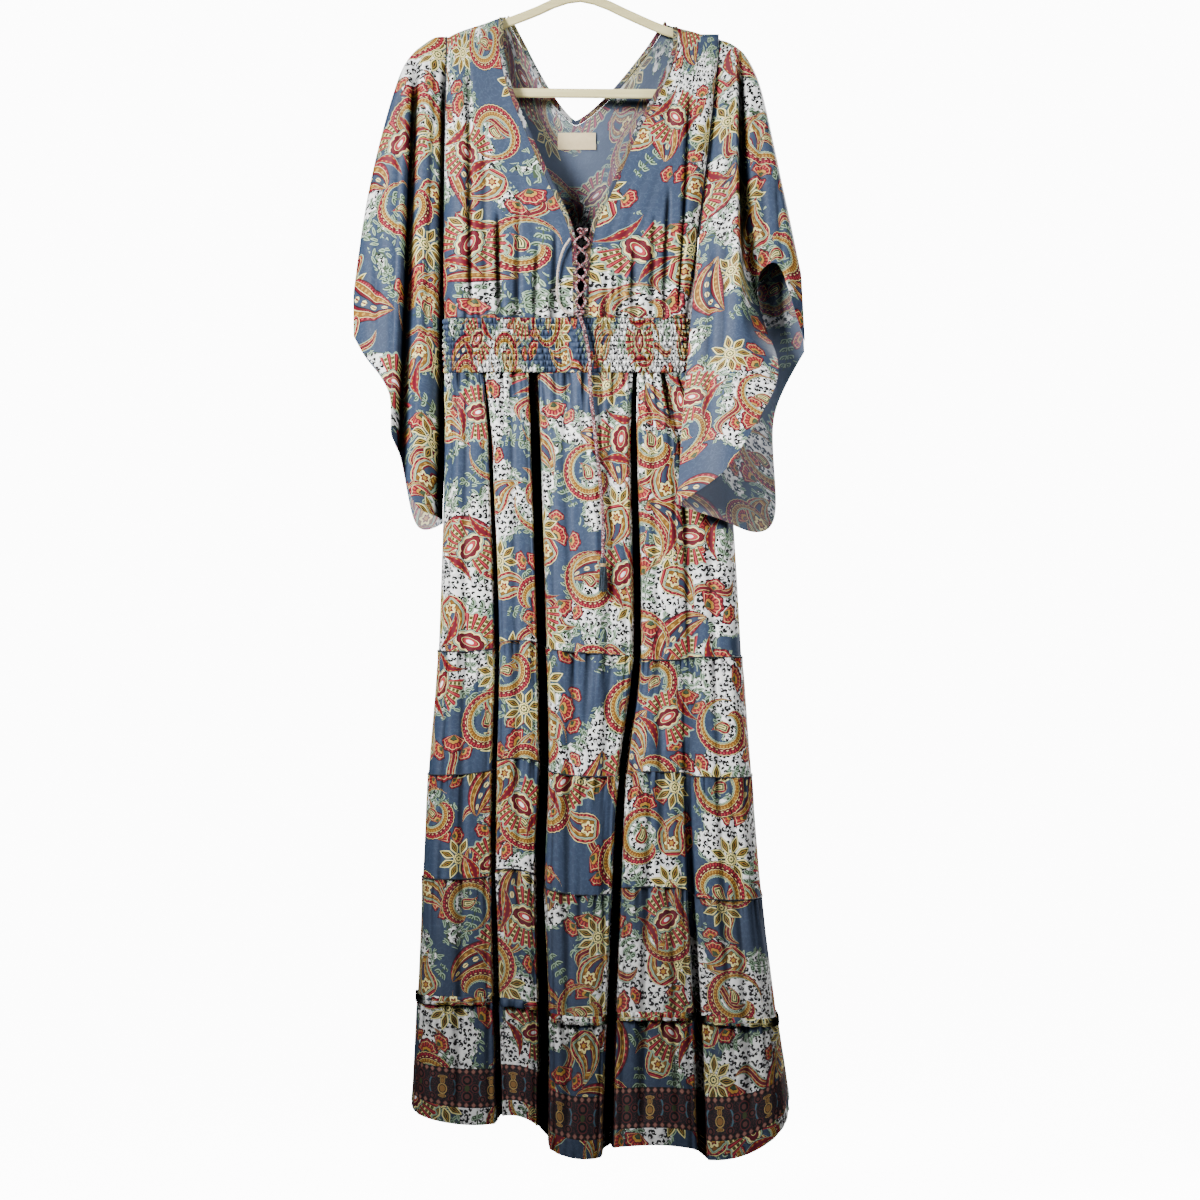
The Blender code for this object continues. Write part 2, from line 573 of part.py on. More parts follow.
def front_point(rows, side_sign, across, part, wave=0.0):
    """Outer point of one front; across is 0 at the side and 1 at the bound neckline."""
    neck_x = rows[0].edge_x + side_sign * NECK_SET
    top = shoulder_z(rows[0].side_x + (neck_x - rows[0].side_x) * across)
    z = top + (SMOCK_TOP + SEAM - top) * part
    side_x = read_rows(rows, "side_x", z)
    side_y = max(read_rows(rows, "side_y", z), WALL + SEAM / 2)
    edge_x = read_rows(rows, "edge_x", z) + side_sign * (BINDING_WIDTH + SEAM)
    full = read_rows(rows, "full", z)
    near = np.clip(across / 0.16, 0, 1)
    out = turn_over_arm(side_y + (full - side_y) * np.sqrt(near * (2 - near)), top - z)
    relief = BODICE_GATHER * wave * np.exp(-(z - SMOCK_TOP) / BODICE_FADE)
    return np.array((side_x + (edge_x - side_x) * across, -(out + relief), z))


def bodice_half(name, rows, side_sign, gathers):
    """One front, from the side to the bound neckline."""
    gathered = np.linspace(0.27, 1, 2 * gathers + 1)
    grid = []
    for part in BODICE_PARTS:
        line = [front_point(rows, side_sign, across, part) for across in (0, 0.1, 0.19)]
        for index, across in enumerate(gathered):
            wave = 0 if index in (0, 2 * gathers) else (1 if index % 2 else -1)
            line.append(front_point(rows, side_sign, across, part, wave))
        grid.append(line if side_sign < 0 else line[::-1])
    outer = np.array(grid)
    normals = plan_normals(outer, -1)
    normals[:, 0 if side_sign < 0 else -1] = (0, -1, 0)
    normals[0] = (0, 0, 1)
    close_wall(name, outer, outer - WALL * normals)


def neck_binding(name, rows, side_sign):
    """Binding along one front edge, a flat strip beside the front's own edge points."""
    half_width, half_depth = BINDING_WIDTH / 2, BINDING_DEPTH / 2
    rings = []
    for part in BODICE_PARTS:
        x, y, z = front_point(rows, side_sign, 1.0, part)
        x -= side_sign * (SEAM + half_width)
        y = min(y + WALL / 2, -half_depth - SEAM / 2)
        lift = 0.0016 if part == 0 else 0.0
        rings.append([(x + half_width * a, y + half_depth * b, z + lift)
                      for a, b in ((-1, -1), (1, -1), (1, 1), (-1, 1))])
    loft(name, rings, "trim")


def back_neck_z(x):
    """Bottom of the back neckline's V at x, or the shoulder outside it."""
    left, right = BACK_NECK
    reach = np.where(x < 0, x / left, x / right)
    bottom = BACK_V_BOTTOM + SEAM
    rise = shoulder_z(np.where(x < 0, left, right)) - bottom
    return np.where(reach < 1, bottom + rise * np.abs(reach) ** BACK_NECK_CURVE, shoulder_z(x))


def back_point(share, part, wave=0.0):
    """Outer point of the back; share runs from the left side to the right, part from neck to waist."""
    left_rows, right_rows = BODICE_LEFT, BODICE_RIGHT
    top_x = left_rows[0].side_x + (right_rows[0].side_x - left_rows[0].side_x) * share
    top = float(back_neck_z(top_x))
    z = top + (SMOCK_TOP + SEAM - top) * part
    left = read_rows(left_rows, "side_x", z)
    right = read_rows(right_rows, "side_x", z)
    side_y = max(read_rows(left_rows, "side_y", z), WALL + SEAM / 2)
    full = read_rows(left_rows, "full", z) * BACK_FULL
    near = np.clip(min(share, 1 - share) / 0.10, 0, 1)
    out = turn_over_arm(side_y + (full - side_y) * np.sqrt(near * (2 - near)), shoulder_z(top_x) - z)
    if BACK_NECK[0] < top_x < BACK_NECK[1]:
        out = max(out, NECK_BEHIND_ARM)
    relief = BODICE_GATHER * wave * np.exp(-(z - SMOCK_TOP) / BODICE_FADE) * (0.1 < share < 0.9)
    return np.array((left + (right - left) * share, out + relief, z))


def bodice_back():
    grid = []
    for part in BACK_PARTS:
        grid.append([
            back_point(share, part, 1 if index % 2 else -1)
            for index, share in enumerate(BACK_SHARES)
        ])
    outer = np.array(grid)
    normals = plan_normals(outer, 1)
    normals[:, 0] = (0, 1, 0)
    normals[:, -1] = (0, 1, 0)
    on_arm = np.abs(outer[0, :, 1]) < 0.002
    normals[0] = np.where(on_arm[:, None], (0.0, 0.0, 1.0), (0.0, 1.0, 0.0))
    close_wall("bodice_back", outer, outer - WALL * normals)


def back_binding():
    """Binding along the back neckline, standing on the back's own top points."""
    half_depth = BINDING_DEPTH / 2
    rings = []
    for share in BACK_SHARES:
        x, y, z = back_point(share, 0)
        if not BACK_NECK[0] < x < BACK_NECK[1]:
            continue
        y = max(y - WALL / 2, half_depth + SEAM / 2)
        low = z + SEAM
        rings.append([(x, y + half_depth * a, low + BINDING_WIDTH * b)
                      for a, b in ((-1, 0), (1, 0), (1, 1), (-1, 1))])
    loft("neck_binding_back", rings, "trim")


def neck_label():
    """Bare woven label on the inside of the back, under the neckline."""
    middle_x, middle_z = LABEL_PLACE
    shares = np.linspace(-0.5, 0.5, 4)
    grid = []
    for up in (0.5, -0.5):
        line = []
        for across in shares:
            full = read_rows(BODICE_LEFT, "full", middle_z + LABEL_HEIGHT * up) * BACK_FULL
            line.append((middle_x + LABEL_WIDTH * across, full - WALL - LABEL_STANDOFF,
                         middle_z + LABEL_HEIGHT * up))
        grid.append(line)
    back = np.array(grid)
    close_wall("neck_label", back, back - (0, LABEL_THICKNESS, 0), "label")


# ---- sleeves ----
def sleeve_point(line, share, layer, side_rows=None, side_sign=0):
    """Control point on one line, share of the way from the ridge to the hem of the front or back layer."""
    front = layer == "front"
    hem_x, hem_z = (line.hem_x, line.hem_z) if front else (line.back_x, line.back_z)
    mid_y, hem_y = (line.front_mid, line.front_hem) if front else (line.back_mid, line.back_hem)
    flare = line.flare if front else min(line.flare, 1.0)
    z = line.top_z + (hem_z - line.top_z) * share
    x = line.top_x + (hem_x - line.top_x) * share ** flare
    if side_rows is not None:
        sewn = read_rows(side_rows, "side_x", z) + side_sign * ARMHOLE_GAP
        x = sewn + (x - sewn) * smooth_step((share - UNDERARM) / 0.12)
    rounded = np.clip(share / 0.3, 0, 1)
    lean = np.clip((share - UNDERARM) / (1 - UNDERARM), 0, 1) ** 0.65
    out = max(abs(mid_y) * np.sqrt(rounded * (2 - rounded)), RIDGE_HALF)
    y = np.copysign(out, mid_y) + (hem_y - mid_y) * lean
    return (x, y, z)


def sleeve_net(lines, side_rows, side_sign):
    """Rows of control points from the front hem over the ridge to the back hem."""
    steps = (1, 0.88, 0.75, 0.48, 0.22, 0.04, 0.0)
    net = []
    for layer, order in (("front", steps), ("ridge", (0,)), ("back", steps[::-1])):
        for step in order:
            row = []
            for index, line in enumerate(lines):
                if layer == "ridge":
                    row.append((line.top_x, 0.0, line.top_z))
                    continue
                hem_z = line.hem_z if layer == "front" else line.back_z
                turn = RIDGE_DROP / (line.top_z - hem_z)
                share = turn + (1 - turn) * step
                sides = (side_rows, side_sign) if index == 0 else (None, 0)
                row.append(sleeve_point(line, share, layer, *sides))
            net.append(row)
    return np.array(net)


def sleeve_surface(net, down, across):
    rows = spline_weights(net.shape[0], down)
    columns = spline_weights(net.shape[1], across)
    return np.einsum("ri,cj,ijk->rck", rows, columns, net)


def sleeve_normals(net, down, across, toward):
    """Normals of the smooth surface itself, from points a little way to each side."""
    step = 0.05
    down, across = np.asarray(down, float), np.asarray(across, float)
    fall = sleeve_surface(net, down + step, across) - sleeve_surface(net, down - step, across)
    run = sleeve_surface(net, down, across + step) - sleeve_surface(net, down, across - step)
    normals = np.cross(fall, run) * toward
    return normals / np.maximum(np.linalg.norm(normals, axis=2, keepdims=True), 1e-9)


def sleeve(name, lines, side_rows, side_sign):
    net = sleeve_net(lines, side_rows, side_sign)
    down = (0, 0.5, 1, 1.6, 2.3, 3.1, 4, 4.9, 5.6, 6.3, 7, 7.7, 8.4, 9.3, 10.3, 11.4, 12.7, 14)
    across = (0, 0.7, 1.5, 2.4, 3, 3.5, 4, 4.5, 5, 5.5, 6, 7, 8.5, 10)
    outer = sleeve_surface(net, down, across)
    normals = sleeve_normals(net, down, across, -side_sign)
    normals[:, 0, 0] = 0
    normals[:, 0] /= np.linalg.norm(normals[:, 0], axis=1, keepdims=True)
    close_wall(name, outer, outer - WALL * normals)


# ---- hanger ----
def hanger():
    """Flat slat frame: two arms, rounded tips and a lower bar; the wire hook stands on its peak."""
    half = SLAT_HEIGHT / 2
    arm_x = np.linspace(ARM_X[0] + 0.012, ARM_X[-1] - 0.012, 21)
    arm = np.stack([arm_x, arm_top(arm_x) - half * 1.08], axis=1)
    right = np.array([(0.0085, -0.008), (0.0115, -0.022), (0.0065, -0.038)]) + arm[-1]
    left = (np.array([(-0.0065, -0.038), (-0.0115, -0.022), (-0.0085, -0.008)]) + arm[0])
    bar_x = np.linspace(arm_x[-1] - 0.008, arm_x[0] + 0.008, 5)
    bar = np.stack([bar_x, BAR_Z - BAR_TILT * bar_x], axis=1)
    path = np.concatenate([arm, right, bar, left])
    run = np.roll(path, -1, axis=0) - np.roll(path, 1, axis=0)
    run /= np.linalg.norm(run, axis=1, keepdims=True)
    rings = []
    for (x, z), (dx, dz) in zip(path, run):
        ring = []
        for a, b in ((-1, -0.6), (-0.7, -1), (0.7, -1), (1, -0.6), (1, 0.6), (0.7, 1), (-0.7, 1), (-1, 0.6)):
            ring.append((x - dz * half * a, SLAT_DEPTH / 2 * b, z + dx * half * a))
        rings.append(ring)
    loft("hanger", rings, "slat", closed=True)

    centre = -HOOK_RADIUS
    bend = HOOK_RADIUS + WIRE_RADIUS
    stem = [(0, 0, HOOK_FOOT), (0, 0, HOOK_FOOT + 0.010), (0.002, 0, HOOK_FOOT + 0.017)]
    angles = np.radians(np.arange(-58, 206, 24))
    turn = [(bend * cos(angle), 0, centre + bend * sin(angle)) for angle in angles]
    tube("hanger_hook", smooth_route(stem + turn, 26), WIRE_RADIUS, "wire")


# ---- front lacing ----
def knot(name, place, size):
    """Tied knot: a small ball drawn in at its middle."""
    bm = bmesh.new()
    bmesh.ops.create_uvsphere(bm, u_segments=10, v_segments=6, radius=1.0)
    for vert in bm.verts:
        pinch = 1 - KNOT_PINCH * (1 - abs(vert.co.x)) ** 2
        vert.co = Vector(place) + Vector((vert.co.x * size[0], vert.co.y * size[1] * pinch,
                                          vert.co.z * size[2] * pinch))
    add_object(name, bm, "cord")


def lacing():
    reach = KNOT_SIZE[2] * (1 - KNOT_PINCH) + 1.2 * LACE_RADIUS
    top = KNOT_TOP[2] - reach
    bottom = KNOT_LOW[2] + reach
    heights = np.linspace(top, bottom, 5 * LACE_CROSSES + 1)
    swing = np.linspace(0, pi * LACE_CROSSES, len(heights))
    for name, sign, y in (("lace_under", 1, LACE_Y), ("lace_over", -1, LACE_Y - 2.2 * LACE_RADIUS)):
        points = []
        for height, angle in zip(heights, swing):
            left = read_rows(BODICE_LEFT, "edge_x", height)
            right = read_rows(BODICE_RIGHT, "edge_x", height)
            swung = (right - left) / 2 + LACE_HOLD
            points.append(((left + right) / 2 + sign * swung * sin(angle), y, height))
        tube(name, points, LACE_RADIUS, "cord", 1)
    knot("lace_bow", KNOT_TOP, KNOT_SIZE)
    knot("lace_knot", KNOT_LOW, KNOT_SIZE)
    tube("lace_loop", smooth_route(LOOP_ROUTE, 18), LACE_RADIUS, "cord", 1)
    tube("lace_tail", smooth_route(TAIL_ROUTE, 30), TAIL_RADIUS, "cord", 2)


def tassel():
    """Bound head and its strands, each drawn out of the head's underside."""
    x, y, z = TAIL_ROUTE[-1]
    top = z - SEAM
    bm = bmesh.new()
    sides = TASSEL_STRANDS
    levels = ((0.55, 0.0), (0.95, -0.002), (1.0, -0.006), (0.80, -0.0095), (0.95, -0.0125))
    angles = [tau * k / sides for k in range(sides)]
    rings = []
    for share, drop in levels:
        radius = TASSEL_RADIUS * share
        rings.append([
            bm.verts.new((x + radius * cos(angle), y + radius * sin(angle), top + drop))
            for angle in angles
        ])
    for upper, lower in zip(rings, rings[1:]):
        for k in range(sides):
            after = (k + 1) % sides
            bm.faces.new((upper[k], upper[after], lower[after], lower[k]))
    bm.faces.new(rings[0][::-1])
    middle = bm.verts.new((x, y, top + levels[-1][1]))
    roots = [bm.faces.new((rings[-1][k], rings[-1][(k + 1) % sides], middle)) for k in range(sides)]
    bmesh.ops.recalc_face_normals(bm, faces=bm.faces)
    inset = bmesh.ops.inset_individual(bm, faces=roots, thickness=0.00022)
    for index, root in enumerate(roots):
        grown = bmesh.ops.extrude_discrete_faces(bm, faces=[root])["faces"][0]
        spread = Vector((grown.calc_center_median().x - x, grown.calc_center_median().y - y, 0)) * 0.35
        length = TASSEL_LENGTH * (0.90 + 0.10 * sin(2.4 * index))
        for vert in grown.verts:
            vert.co += Vector((0, 0, -length)) + spread
    add_object("tassel", bm, "tassel", smooth=False)


def main():
    clear_scene()
    skirt()
    headers()
    waistband()
    bodice_half("bodice_front_left", BODICE_LEFT, -1, 5)
    bodice_half("bodice_front_right", BODICE_RIGHT, 1, 5)
    neck_binding("neck_binding_left", BODICE_LEFT, -1)
    neck_binding("neck_binding_right", BODICE_RIGHT, 1)
    bodice_back()
    back_binding()
    neck_label()
    sleeve("sleeve_left", SLEEVE_LEFT, BODICE_LEFT, -1)
    sleeve("sleeve_right", SLEEVE_RIGHT, BODICE_RIGHT, 1)
    hanger()
    lacing()
    tassel()


main()
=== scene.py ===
"""Tiered maxi dress with a smocked waist and draped sleeves, on a slim clothes hanger.

Metres, +Z up, front towards -Y; the origin is inside the top of the hanger's hook.
"""
from collections import namedtuple
from functools import partialmethod
from math import cos, pi, radians, sin, tau

import bpy
import numpy as np
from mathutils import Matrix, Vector


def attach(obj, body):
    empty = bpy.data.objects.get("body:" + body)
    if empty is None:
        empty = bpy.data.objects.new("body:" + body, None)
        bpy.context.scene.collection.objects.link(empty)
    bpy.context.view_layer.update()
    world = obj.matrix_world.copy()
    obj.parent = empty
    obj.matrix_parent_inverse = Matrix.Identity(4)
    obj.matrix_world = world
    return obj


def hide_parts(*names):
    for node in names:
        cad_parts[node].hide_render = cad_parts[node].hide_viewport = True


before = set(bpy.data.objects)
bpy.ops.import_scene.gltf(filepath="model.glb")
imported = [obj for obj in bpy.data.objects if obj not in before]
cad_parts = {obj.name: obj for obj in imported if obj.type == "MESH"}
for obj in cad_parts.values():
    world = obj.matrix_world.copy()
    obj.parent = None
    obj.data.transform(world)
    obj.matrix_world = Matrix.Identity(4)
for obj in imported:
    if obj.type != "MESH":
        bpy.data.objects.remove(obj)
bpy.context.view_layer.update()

# ---- studio: camera, floor and lamps ----
# A camera level with the middle of the dress, far enough back for a long lens, over a plain white floor that
# runs into a white room. Lamps with narrow beams light the top of the dress more than its hem.
VIEW_CENTRE = (0.026, -0.04, -0.871)
VIEW_WIDTH = 1.56
VIEW_DISTANCE = 6.0
FLOOR_Z = -1.70
FLOOR_SIZE = 30.0
WHITE = 12.0                 # how brightly the floor and the wall beyond it show
AMBIENT = 0.055              # how much of that falls on the dress
Lamp = namedtuple("Lamp", "name place aim size power spread")
LAMPS = (
    Lamp("lamp_key", (-1.60, -1.90, 0.58), (0.0, 0.0, -0.64), 0.8, 15.4, 37),
    Lamp("lamp_fill", (2.0, -2.0, 0.30), (0.0, 0.0, -0.60), 1.2, 5.4, 40),
    Lamp("lamp_behind", (1.6, 2.2, 0.60), (0.0, 0.0, -0.75), 1.2, 34.0, 70),
)


def aim_at(thing, target):
    away = Vector(target) - thing.location
    thing.rotation_euler = away.to_track_quat("-Z", "Y").to_euler()


def link(thing):
    bpy.context.scene.collection.objects.link(thing)
    return thing


view = bpy.data.cameras.new("view")
view.sensor_width = 36.0
view.lens = view.sensor_width * VIEW_DISTANCE / VIEW_WIDTH
view.clip_end = 60.0
camera = link(bpy.data.objects.new("view", view))
camera.location = (VIEW_CENTRE[0], VIEW_CENTRE[1] - VIEW_DISTANCE, VIEW_CENTRE[2])
camera.rotation_euler = (pi / 2, 0.0, 0.0)
bpy.context.scene.camera = camera

for lamp in LAMPS:
    light = bpy.data.lights.new(lamp.name, "AREA")
    light.energy = lamp.power
    light.size = lamp.size
    light.spread = radians(lamp.spread)
    stand = link(bpy.data.objects.new(lamp.name, light))
    stand.location = lamp.place
    stand.visible_camera = False
    aim_at(stand, lamp.aim)

world = bpy.data.worlds.new("studio")
world.use_nodes = True
backdrop = world.node_tree.nodes["Background"]
backdrop.inputs["Color"].default_value = (1.0, 1.0, 1.0, 1.0)
seen = world.node_tree.nodes.new("ShaderNodeLightPath")
strength = world.node_tree.nodes.new("ShaderNodeMapRange")
strength.inputs["To Min"].default_value = AMBIENT
strength.inputs["To Max"].default_value = WHITE
world.node_tree.links.new(seen.outputs["Is Camera Ray"], strength.inputs["Value"])
world.node_tree.links.new(strength.outputs["Result"], backdrop.inputs["Strength"])
bpy.context.scene.world = world


def new_material(name, roughness):
    """Fresh material with its tree and its shader."""
    made = bpy.data.materials.new(name)
    made.use_nodes = True
    shader = made.node_tree.nodes["Principled BSDF"]
    shader.inputs["Roughness"].default_value = roughness
    return made, made.node_tree, shader


paper, _, paper_shader = new_material("studio paper", 0.9)
paper_shader.inputs["Base Color"].default_value = (0.93, 0.93, 0.93, 1.0)
paper_shader.inputs["Emission Color"].default_value = (1.0, 1.0, 1.0, 1.0)
paper_shader.inputs["Emission Strength"].default_value = WHITE
bpy.ops.mesh.primitive_plane_add(size=FLOOR_SIZE, location=(0.0, 0.0, FLOOR_Z))
floor = bpy.context.object
floor.name = "studio_floor"
floor.data.materials.append(paper)
floor.visible_diffuse = False
floor.visible_glossy = False

# ---- cloth: printed crepe ----
# A light woven crepe printed with paisleys, flowers and leopard patches on slate blue. Its wrong side is
# paler. The print lies on each piece's own map, which is in metres of cloth, so it gathers with the cloth.
WEAVE_SCALE = 1400.0
CREASE_SHADE = 0.98            # how dark the painted shade is where the crepe's creases and folds are deepest
PRINT_SIZE = 1.22            # the motifs are drawn in centimetres and printed this many times larger
SWATCH_DEPTH = 1.90          # swatches are taken this much deeper, since the lamps lighten them


class Term:
    """A number or colour of a shader; arithmetic on it adds Math nodes to its tree."""

    def __init__(self, tree, socket):
        self.tree = tree
        self.socket = socket

    def work(self, operation, *others, clamp=False):
        node = self.tree.nodes.new("ShaderNodeMath")
        node.operation = operation
        node.use_clamp = clamp
        plug(self.tree, zip(node.inputs, (self, *others)))
        return Term(self.tree, node.outputs[0])

    def __rsub__(self, other):
        return self.work("MULTIPLY_ADD", -1.0, other)

    def clamped(self):
        return self.work("ADD", 0.0, clamp=True)


for method, operation in {
    "__add__": "ADD", "__radd__": "ADD", "__sub__": "SUBTRACT", "__mul__": "MULTIPLY", "__rmul__": "MULTIPLY",
    "__truediv__": "DIVIDE", "__pow__": "POWER", "__abs__": "ABSOLUTE", "less": "LESS_THAN",
    "over": "GREATER_THAN", "most": "MAXIMUM", "least": "MINIMUM", "sine": "SINE", "cosine": "COSINE",
    "root": "SQRT", "floor": "FLOOR", "fraction": "FRACT", "angle": "ARCTAN2",
}.items():
    setattr(Term, method, partialmethod(Term.work, operation))


def plug(tree, pairs):
    """Link or set each input of the pairs."""
    for slot, value in pairs:
        if isinstance(value, Term):
            tree.links.new(value.socket, slot)
        else:
            slot.default_value = value


def texture(tree, kind, **inputs):
    node = tree.nodes.new(kind)
    plug(tree, ((node.inputs[name], value) for name, value in inputs.items()))
    return node


def noise(place, scale, detail, output="Fac", **inputs):
    """Cloudy change from place to place."""
    node = texture(place.tree, "ShaderNodeTexNoise", Vector=place, Scale=scale, Detail=detail, **inputs)
    return Term(place.tree, node.outputs[output])


def tint(red, green, blue):
    """Colour of a swatch on a scale of 255."""
    parts = [(part / 255.0) ** SWATCH_DEPTH for part in (red, green, blue)]
    return (*(part / 12.92 if part <= 0.04045 else ((part + 0.055) / 1.055) ** 2.4 for part in parts), 1.0)


def mix(share, under, over):
    tree = next(part.tree for part in (share, under, over) if isinstance(part, Term))
    node = tree.nodes.new("ShaderNodeMix")
    node.data_type = "RGBA"
    plug(tree, ((node.inputs[0], share), (node.inputs[6], under), (node.inputs[7], over)))
    return Term(tree, node.outputs[2])


def bands(value, first, *stops):
    """Flat bands of colour: the first, then each later one from its stop on."""
    node = value.tree.nodes.new("ShaderNodeValToRGB")
    ramp = node.color_ramp
    ramp.interpolation = "CONSTANT"
    ramp.elements[0].color = first
    ramp.elements.remove(ramp.elements[1])
    for position, colour in zip(stops[::2], stops[1::2]):
        ramp.elements.new(position).color = colour
    plug(value.tree, [(node.inputs[0], value)])
    return Term(value.tree, node.outputs[0])


def split(vector):
    node = texture(vector.tree, "ShaderNodeSeparateXYZ", Vector=vector)
    return [Term(vector.tree, socket) for socket in node.outputs]


def join(x, y, z=0.0):
    return Term(x.tree, texture(x.tree, "ShaderNodeCombineXYZ", X=x, Y=y, Z=z).outputs[0])


def turned(x, y, share):
    """Place in a plane, turned by a share of a whole turn."""
    node = texture(x.tree, "ShaderNodeVectorRotate", Vector=join(x, y), Angle=share * tau)
    node.rotation_type = "Z_AXIS"
    return Term(x.tree, node.outputs[0])


def new_group(name, draw, *outputs):
    """Shader group whose outputs are drawn from a place."""
    tree = bpy.data.node_groups.new(name, "ShaderNodeTree")
    tree.interface.new_socket("Place", in_out="INPUT", socket_type="NodeSocketVector")
    for label, kind in outputs:
        tree.interface.new_socket(label, in_out="OUTPUT", socket_type=f"NodeSocket{kind}")
    place = Term(tree, tree.nodes.new("NodeGroupInput").outputs["Place"])
    plug(tree, zip(tree.nodes.new("NodeGroupOutput").inputs, draw(place)))
    return tree


def pattern_group(name, draw):
    """Shader group of a pattern in a plane: its colour and where it lies."""
    return new_group(name, lambda place: draw(*split(place)[:2]), ("Colour", "Color"), ("Mask", "Float"))


def use_group(group, place):
    node = place.tree.nodes.new("ShaderNodeGroup")
    node.node_tree = group
    plug(place.tree, [(node.inputs["Place"], place)])
    return {socket.name: Term(place.tree, socket) for socket in node.outputs}


INK = tint(30, 28, 34)
SLATE = tint(104, 119, 141)
SLATE_LIGHT = tint(140, 155, 174)
CRIMSON = tint(150, 18, 76)
ROSE = tint(206, 108, 118)
ORANGE = tint(176, 60, 76)
PEACH = tint(210, 124, 112)
OCHRE = tint(172, 138, 74)
GOLD = tint(212, 182, 112)
MINT = tint(188, 204, 188)
SAGE = tint(112, 130, 106)
CREAM = tint(244, 236, 190)
OLIVE = tint(126, 124, 70)
CHALK = tint(250, 250, 249)


def polar(x, y):
    return (x * x + y * y).root(), y.angle(x)


def dotted(colour, depth, *rows):
    """Rows of dots over a colour, each: what runs along it, how often, its middle, width and colour."""
    for turn, count, middle, wide, dot in rows:
        wave = (turn * count).sine() * 0.5 + 0.5
        colour = mix((wave - abs(depth - middle) * (1 / wide)).over(0.42), colour, dot)
    return colour


def draw_rosette(x, y):
    """Eight pointed cream petals with olive hearts round a beaded eye."""
    r, turn = polar(x * 1.26, y * 1.26)
    side = abs(((turn * (8 / tau)).fraction() - 0.5) * (tau / 8) * r)
    length = (r - 1.85) * (1 / 1.30)
    petal = 1.0 - length * length - side * (1 / 0.68) - abs(length) * side * 0.9
    colour = bands(petal, INK, 0.03, MINT, 0.09, INK, 0.12, CREAM, 0.40, INK, 0.45, OLIVE, 0.74, GOLD,
                   0.84, INK)
    heart = 1.0 - r * (1 / 0.80) * (1.0 - (turn * 8).cosine() * 0.10)
    middle = bands(heart, INK, 0.10, CREAM, 0.34, SAGE, 0.50, INK, 0.56, CREAM, 0.80, OLIVE)
    return mix(heart.over(0.0), colour, middle), petal.most(heart).over(0.0)


def draw_leaf(x, y):
    """Long pointed leaf bent along an arc, with dotted crimson and ochre bands round a slate eye."""
    r, turn = polar(x + 5.0, y)
    share = (turn + 0.80) * (1 / 1.60)
    wide = ((share * (1.0 - share)).most(0.0) ** 0.80) * 5.4
    depth = 1.0 - abs(r - 5.0) / wide.most(0.05)
    colour = bands(depth, INK, 0.04, CRIMSON, 0.26, CREAM, 0.29, INK, 0.32, OCHRE, 0.58, CREAM, 0.61, CRIMSON,
                   0.74, INK, 0.78, SLATE)
    colour = dotted(colour, depth, (turn, 62, 0.19, 0.13, ROSE), (turn, 40, 0.46, 0.15, GOLD),
                    (turn, 24, 0.95, 0.16, CREAM), (turn, 24, 1.0, 0.07, CRIMSON))
    return colour, depth.over(0.0) * share.over(0.0) * share.less(1.0)


def drop_shape(x, y, size, curl):
    """Depth into a drop whose tip curls over: 0 at its edge; y runs from its round end to its tip."""
    bend = y.most(0.0) * curl
    over = x * bend.cosine() - y * bend.sine()
    up = x * bend.sine() + y * bend.cosine()
    share = (up + 1.6 * size) * (1 / (4.6 * size))
    wide = (share.most(0.0) ** 0.5) * ((1.0 - share).most(0.0) ** 1.15) * (3.5 * size)
    depth = 1.0 - abs(over) / wide.most(0.02)
    return depth.least(share * 3.2).least((1.0 - share) * 2.4), up


def draw_crescent(x, y):
    """Broad crescent of mint, ochre and crimson round a drop with a curled tip."""
    r, turn = polar(x, y)
    share = (turn + pi) * (1 / tau)
    wide = (share.most(0.0) ** 1.10) * ((1.0 - share).most(0.0) ** 0.45) * 4.1
    depth = (r - 2.75 + share * 1.75) / wide.most(0.05)
    scallop = abs((turn * 17).sine()) * 0.045
    colour = bands(depth + scallop, INK, 0.04, MINT, 0.13, INK, 0.17, CREAM, 0.20, OCHRE, 0.50, CREAM,
                   0.53, INK, 0.57, CRIMSON, 0.96, CREAM, 1.0, INK)
    colour = dotted(colour, depth, (turn, 40, 0.36, 0.15, GOLD), (turn, 56, 0.80, 0.16, ROSE),
                    (turn, 28, 0.63, 0.06, CREAM))
    ring = depth.over(0.0) * (depth + scallop).less(1.04)
    inner, up = drop_shape(x - 0.25, y * -1.0, 0.50, 0.55)
    drop = bands(inner, CREAM, 0.07, INK, 0.11, CRIMSON, 0.44, CREAM, 0.50, INK, 0.54, SAGE, 0.74, CREAM,
                 0.88, OLIVE)
    drop = dotted(drop, inner, (up, 11, 0.28, 0.15, ROSE))
    return mix(inner.over(0.0), colour, drop), ring.most(inner.over(0.0))


def draw_paisley(x, y):
    """Drop with a curled tip, in crimson and ochre bands round a small flower."""
    depth, up = drop_shape(x, y, 1.25, 0.30)
    scallop = abs((up * 4.2).sine()) * 0.03
    colour = bands(depth + scallop, INK, 0.04, CREAM, 0.09, CRIMSON, 0.27, CREAM, 0.30, INK, 0.33, MINT,
                   0.43, INK, 0.46, OCHRE, 0.68, CREAM, 0.72, CRIMSON, 0.84, SLATE)
    colour = dotted(colour, depth, (up, 13, 0.18, 0.12, ROSE), (up, 9, 0.57, 0.14, GOLD))
    r, turn = polar(x, y + 0.55)
    bloom = 1.0 - r / ((turn * 6).cosine() * 0.16 + 0.72)
    petals = bands(bloom, INK, 0.10, CREAM, 0.45, CRIMSON, 0.70, GOLD)
    return mix(bloom.over(0.0), colour, petals), depth.over(0.0)


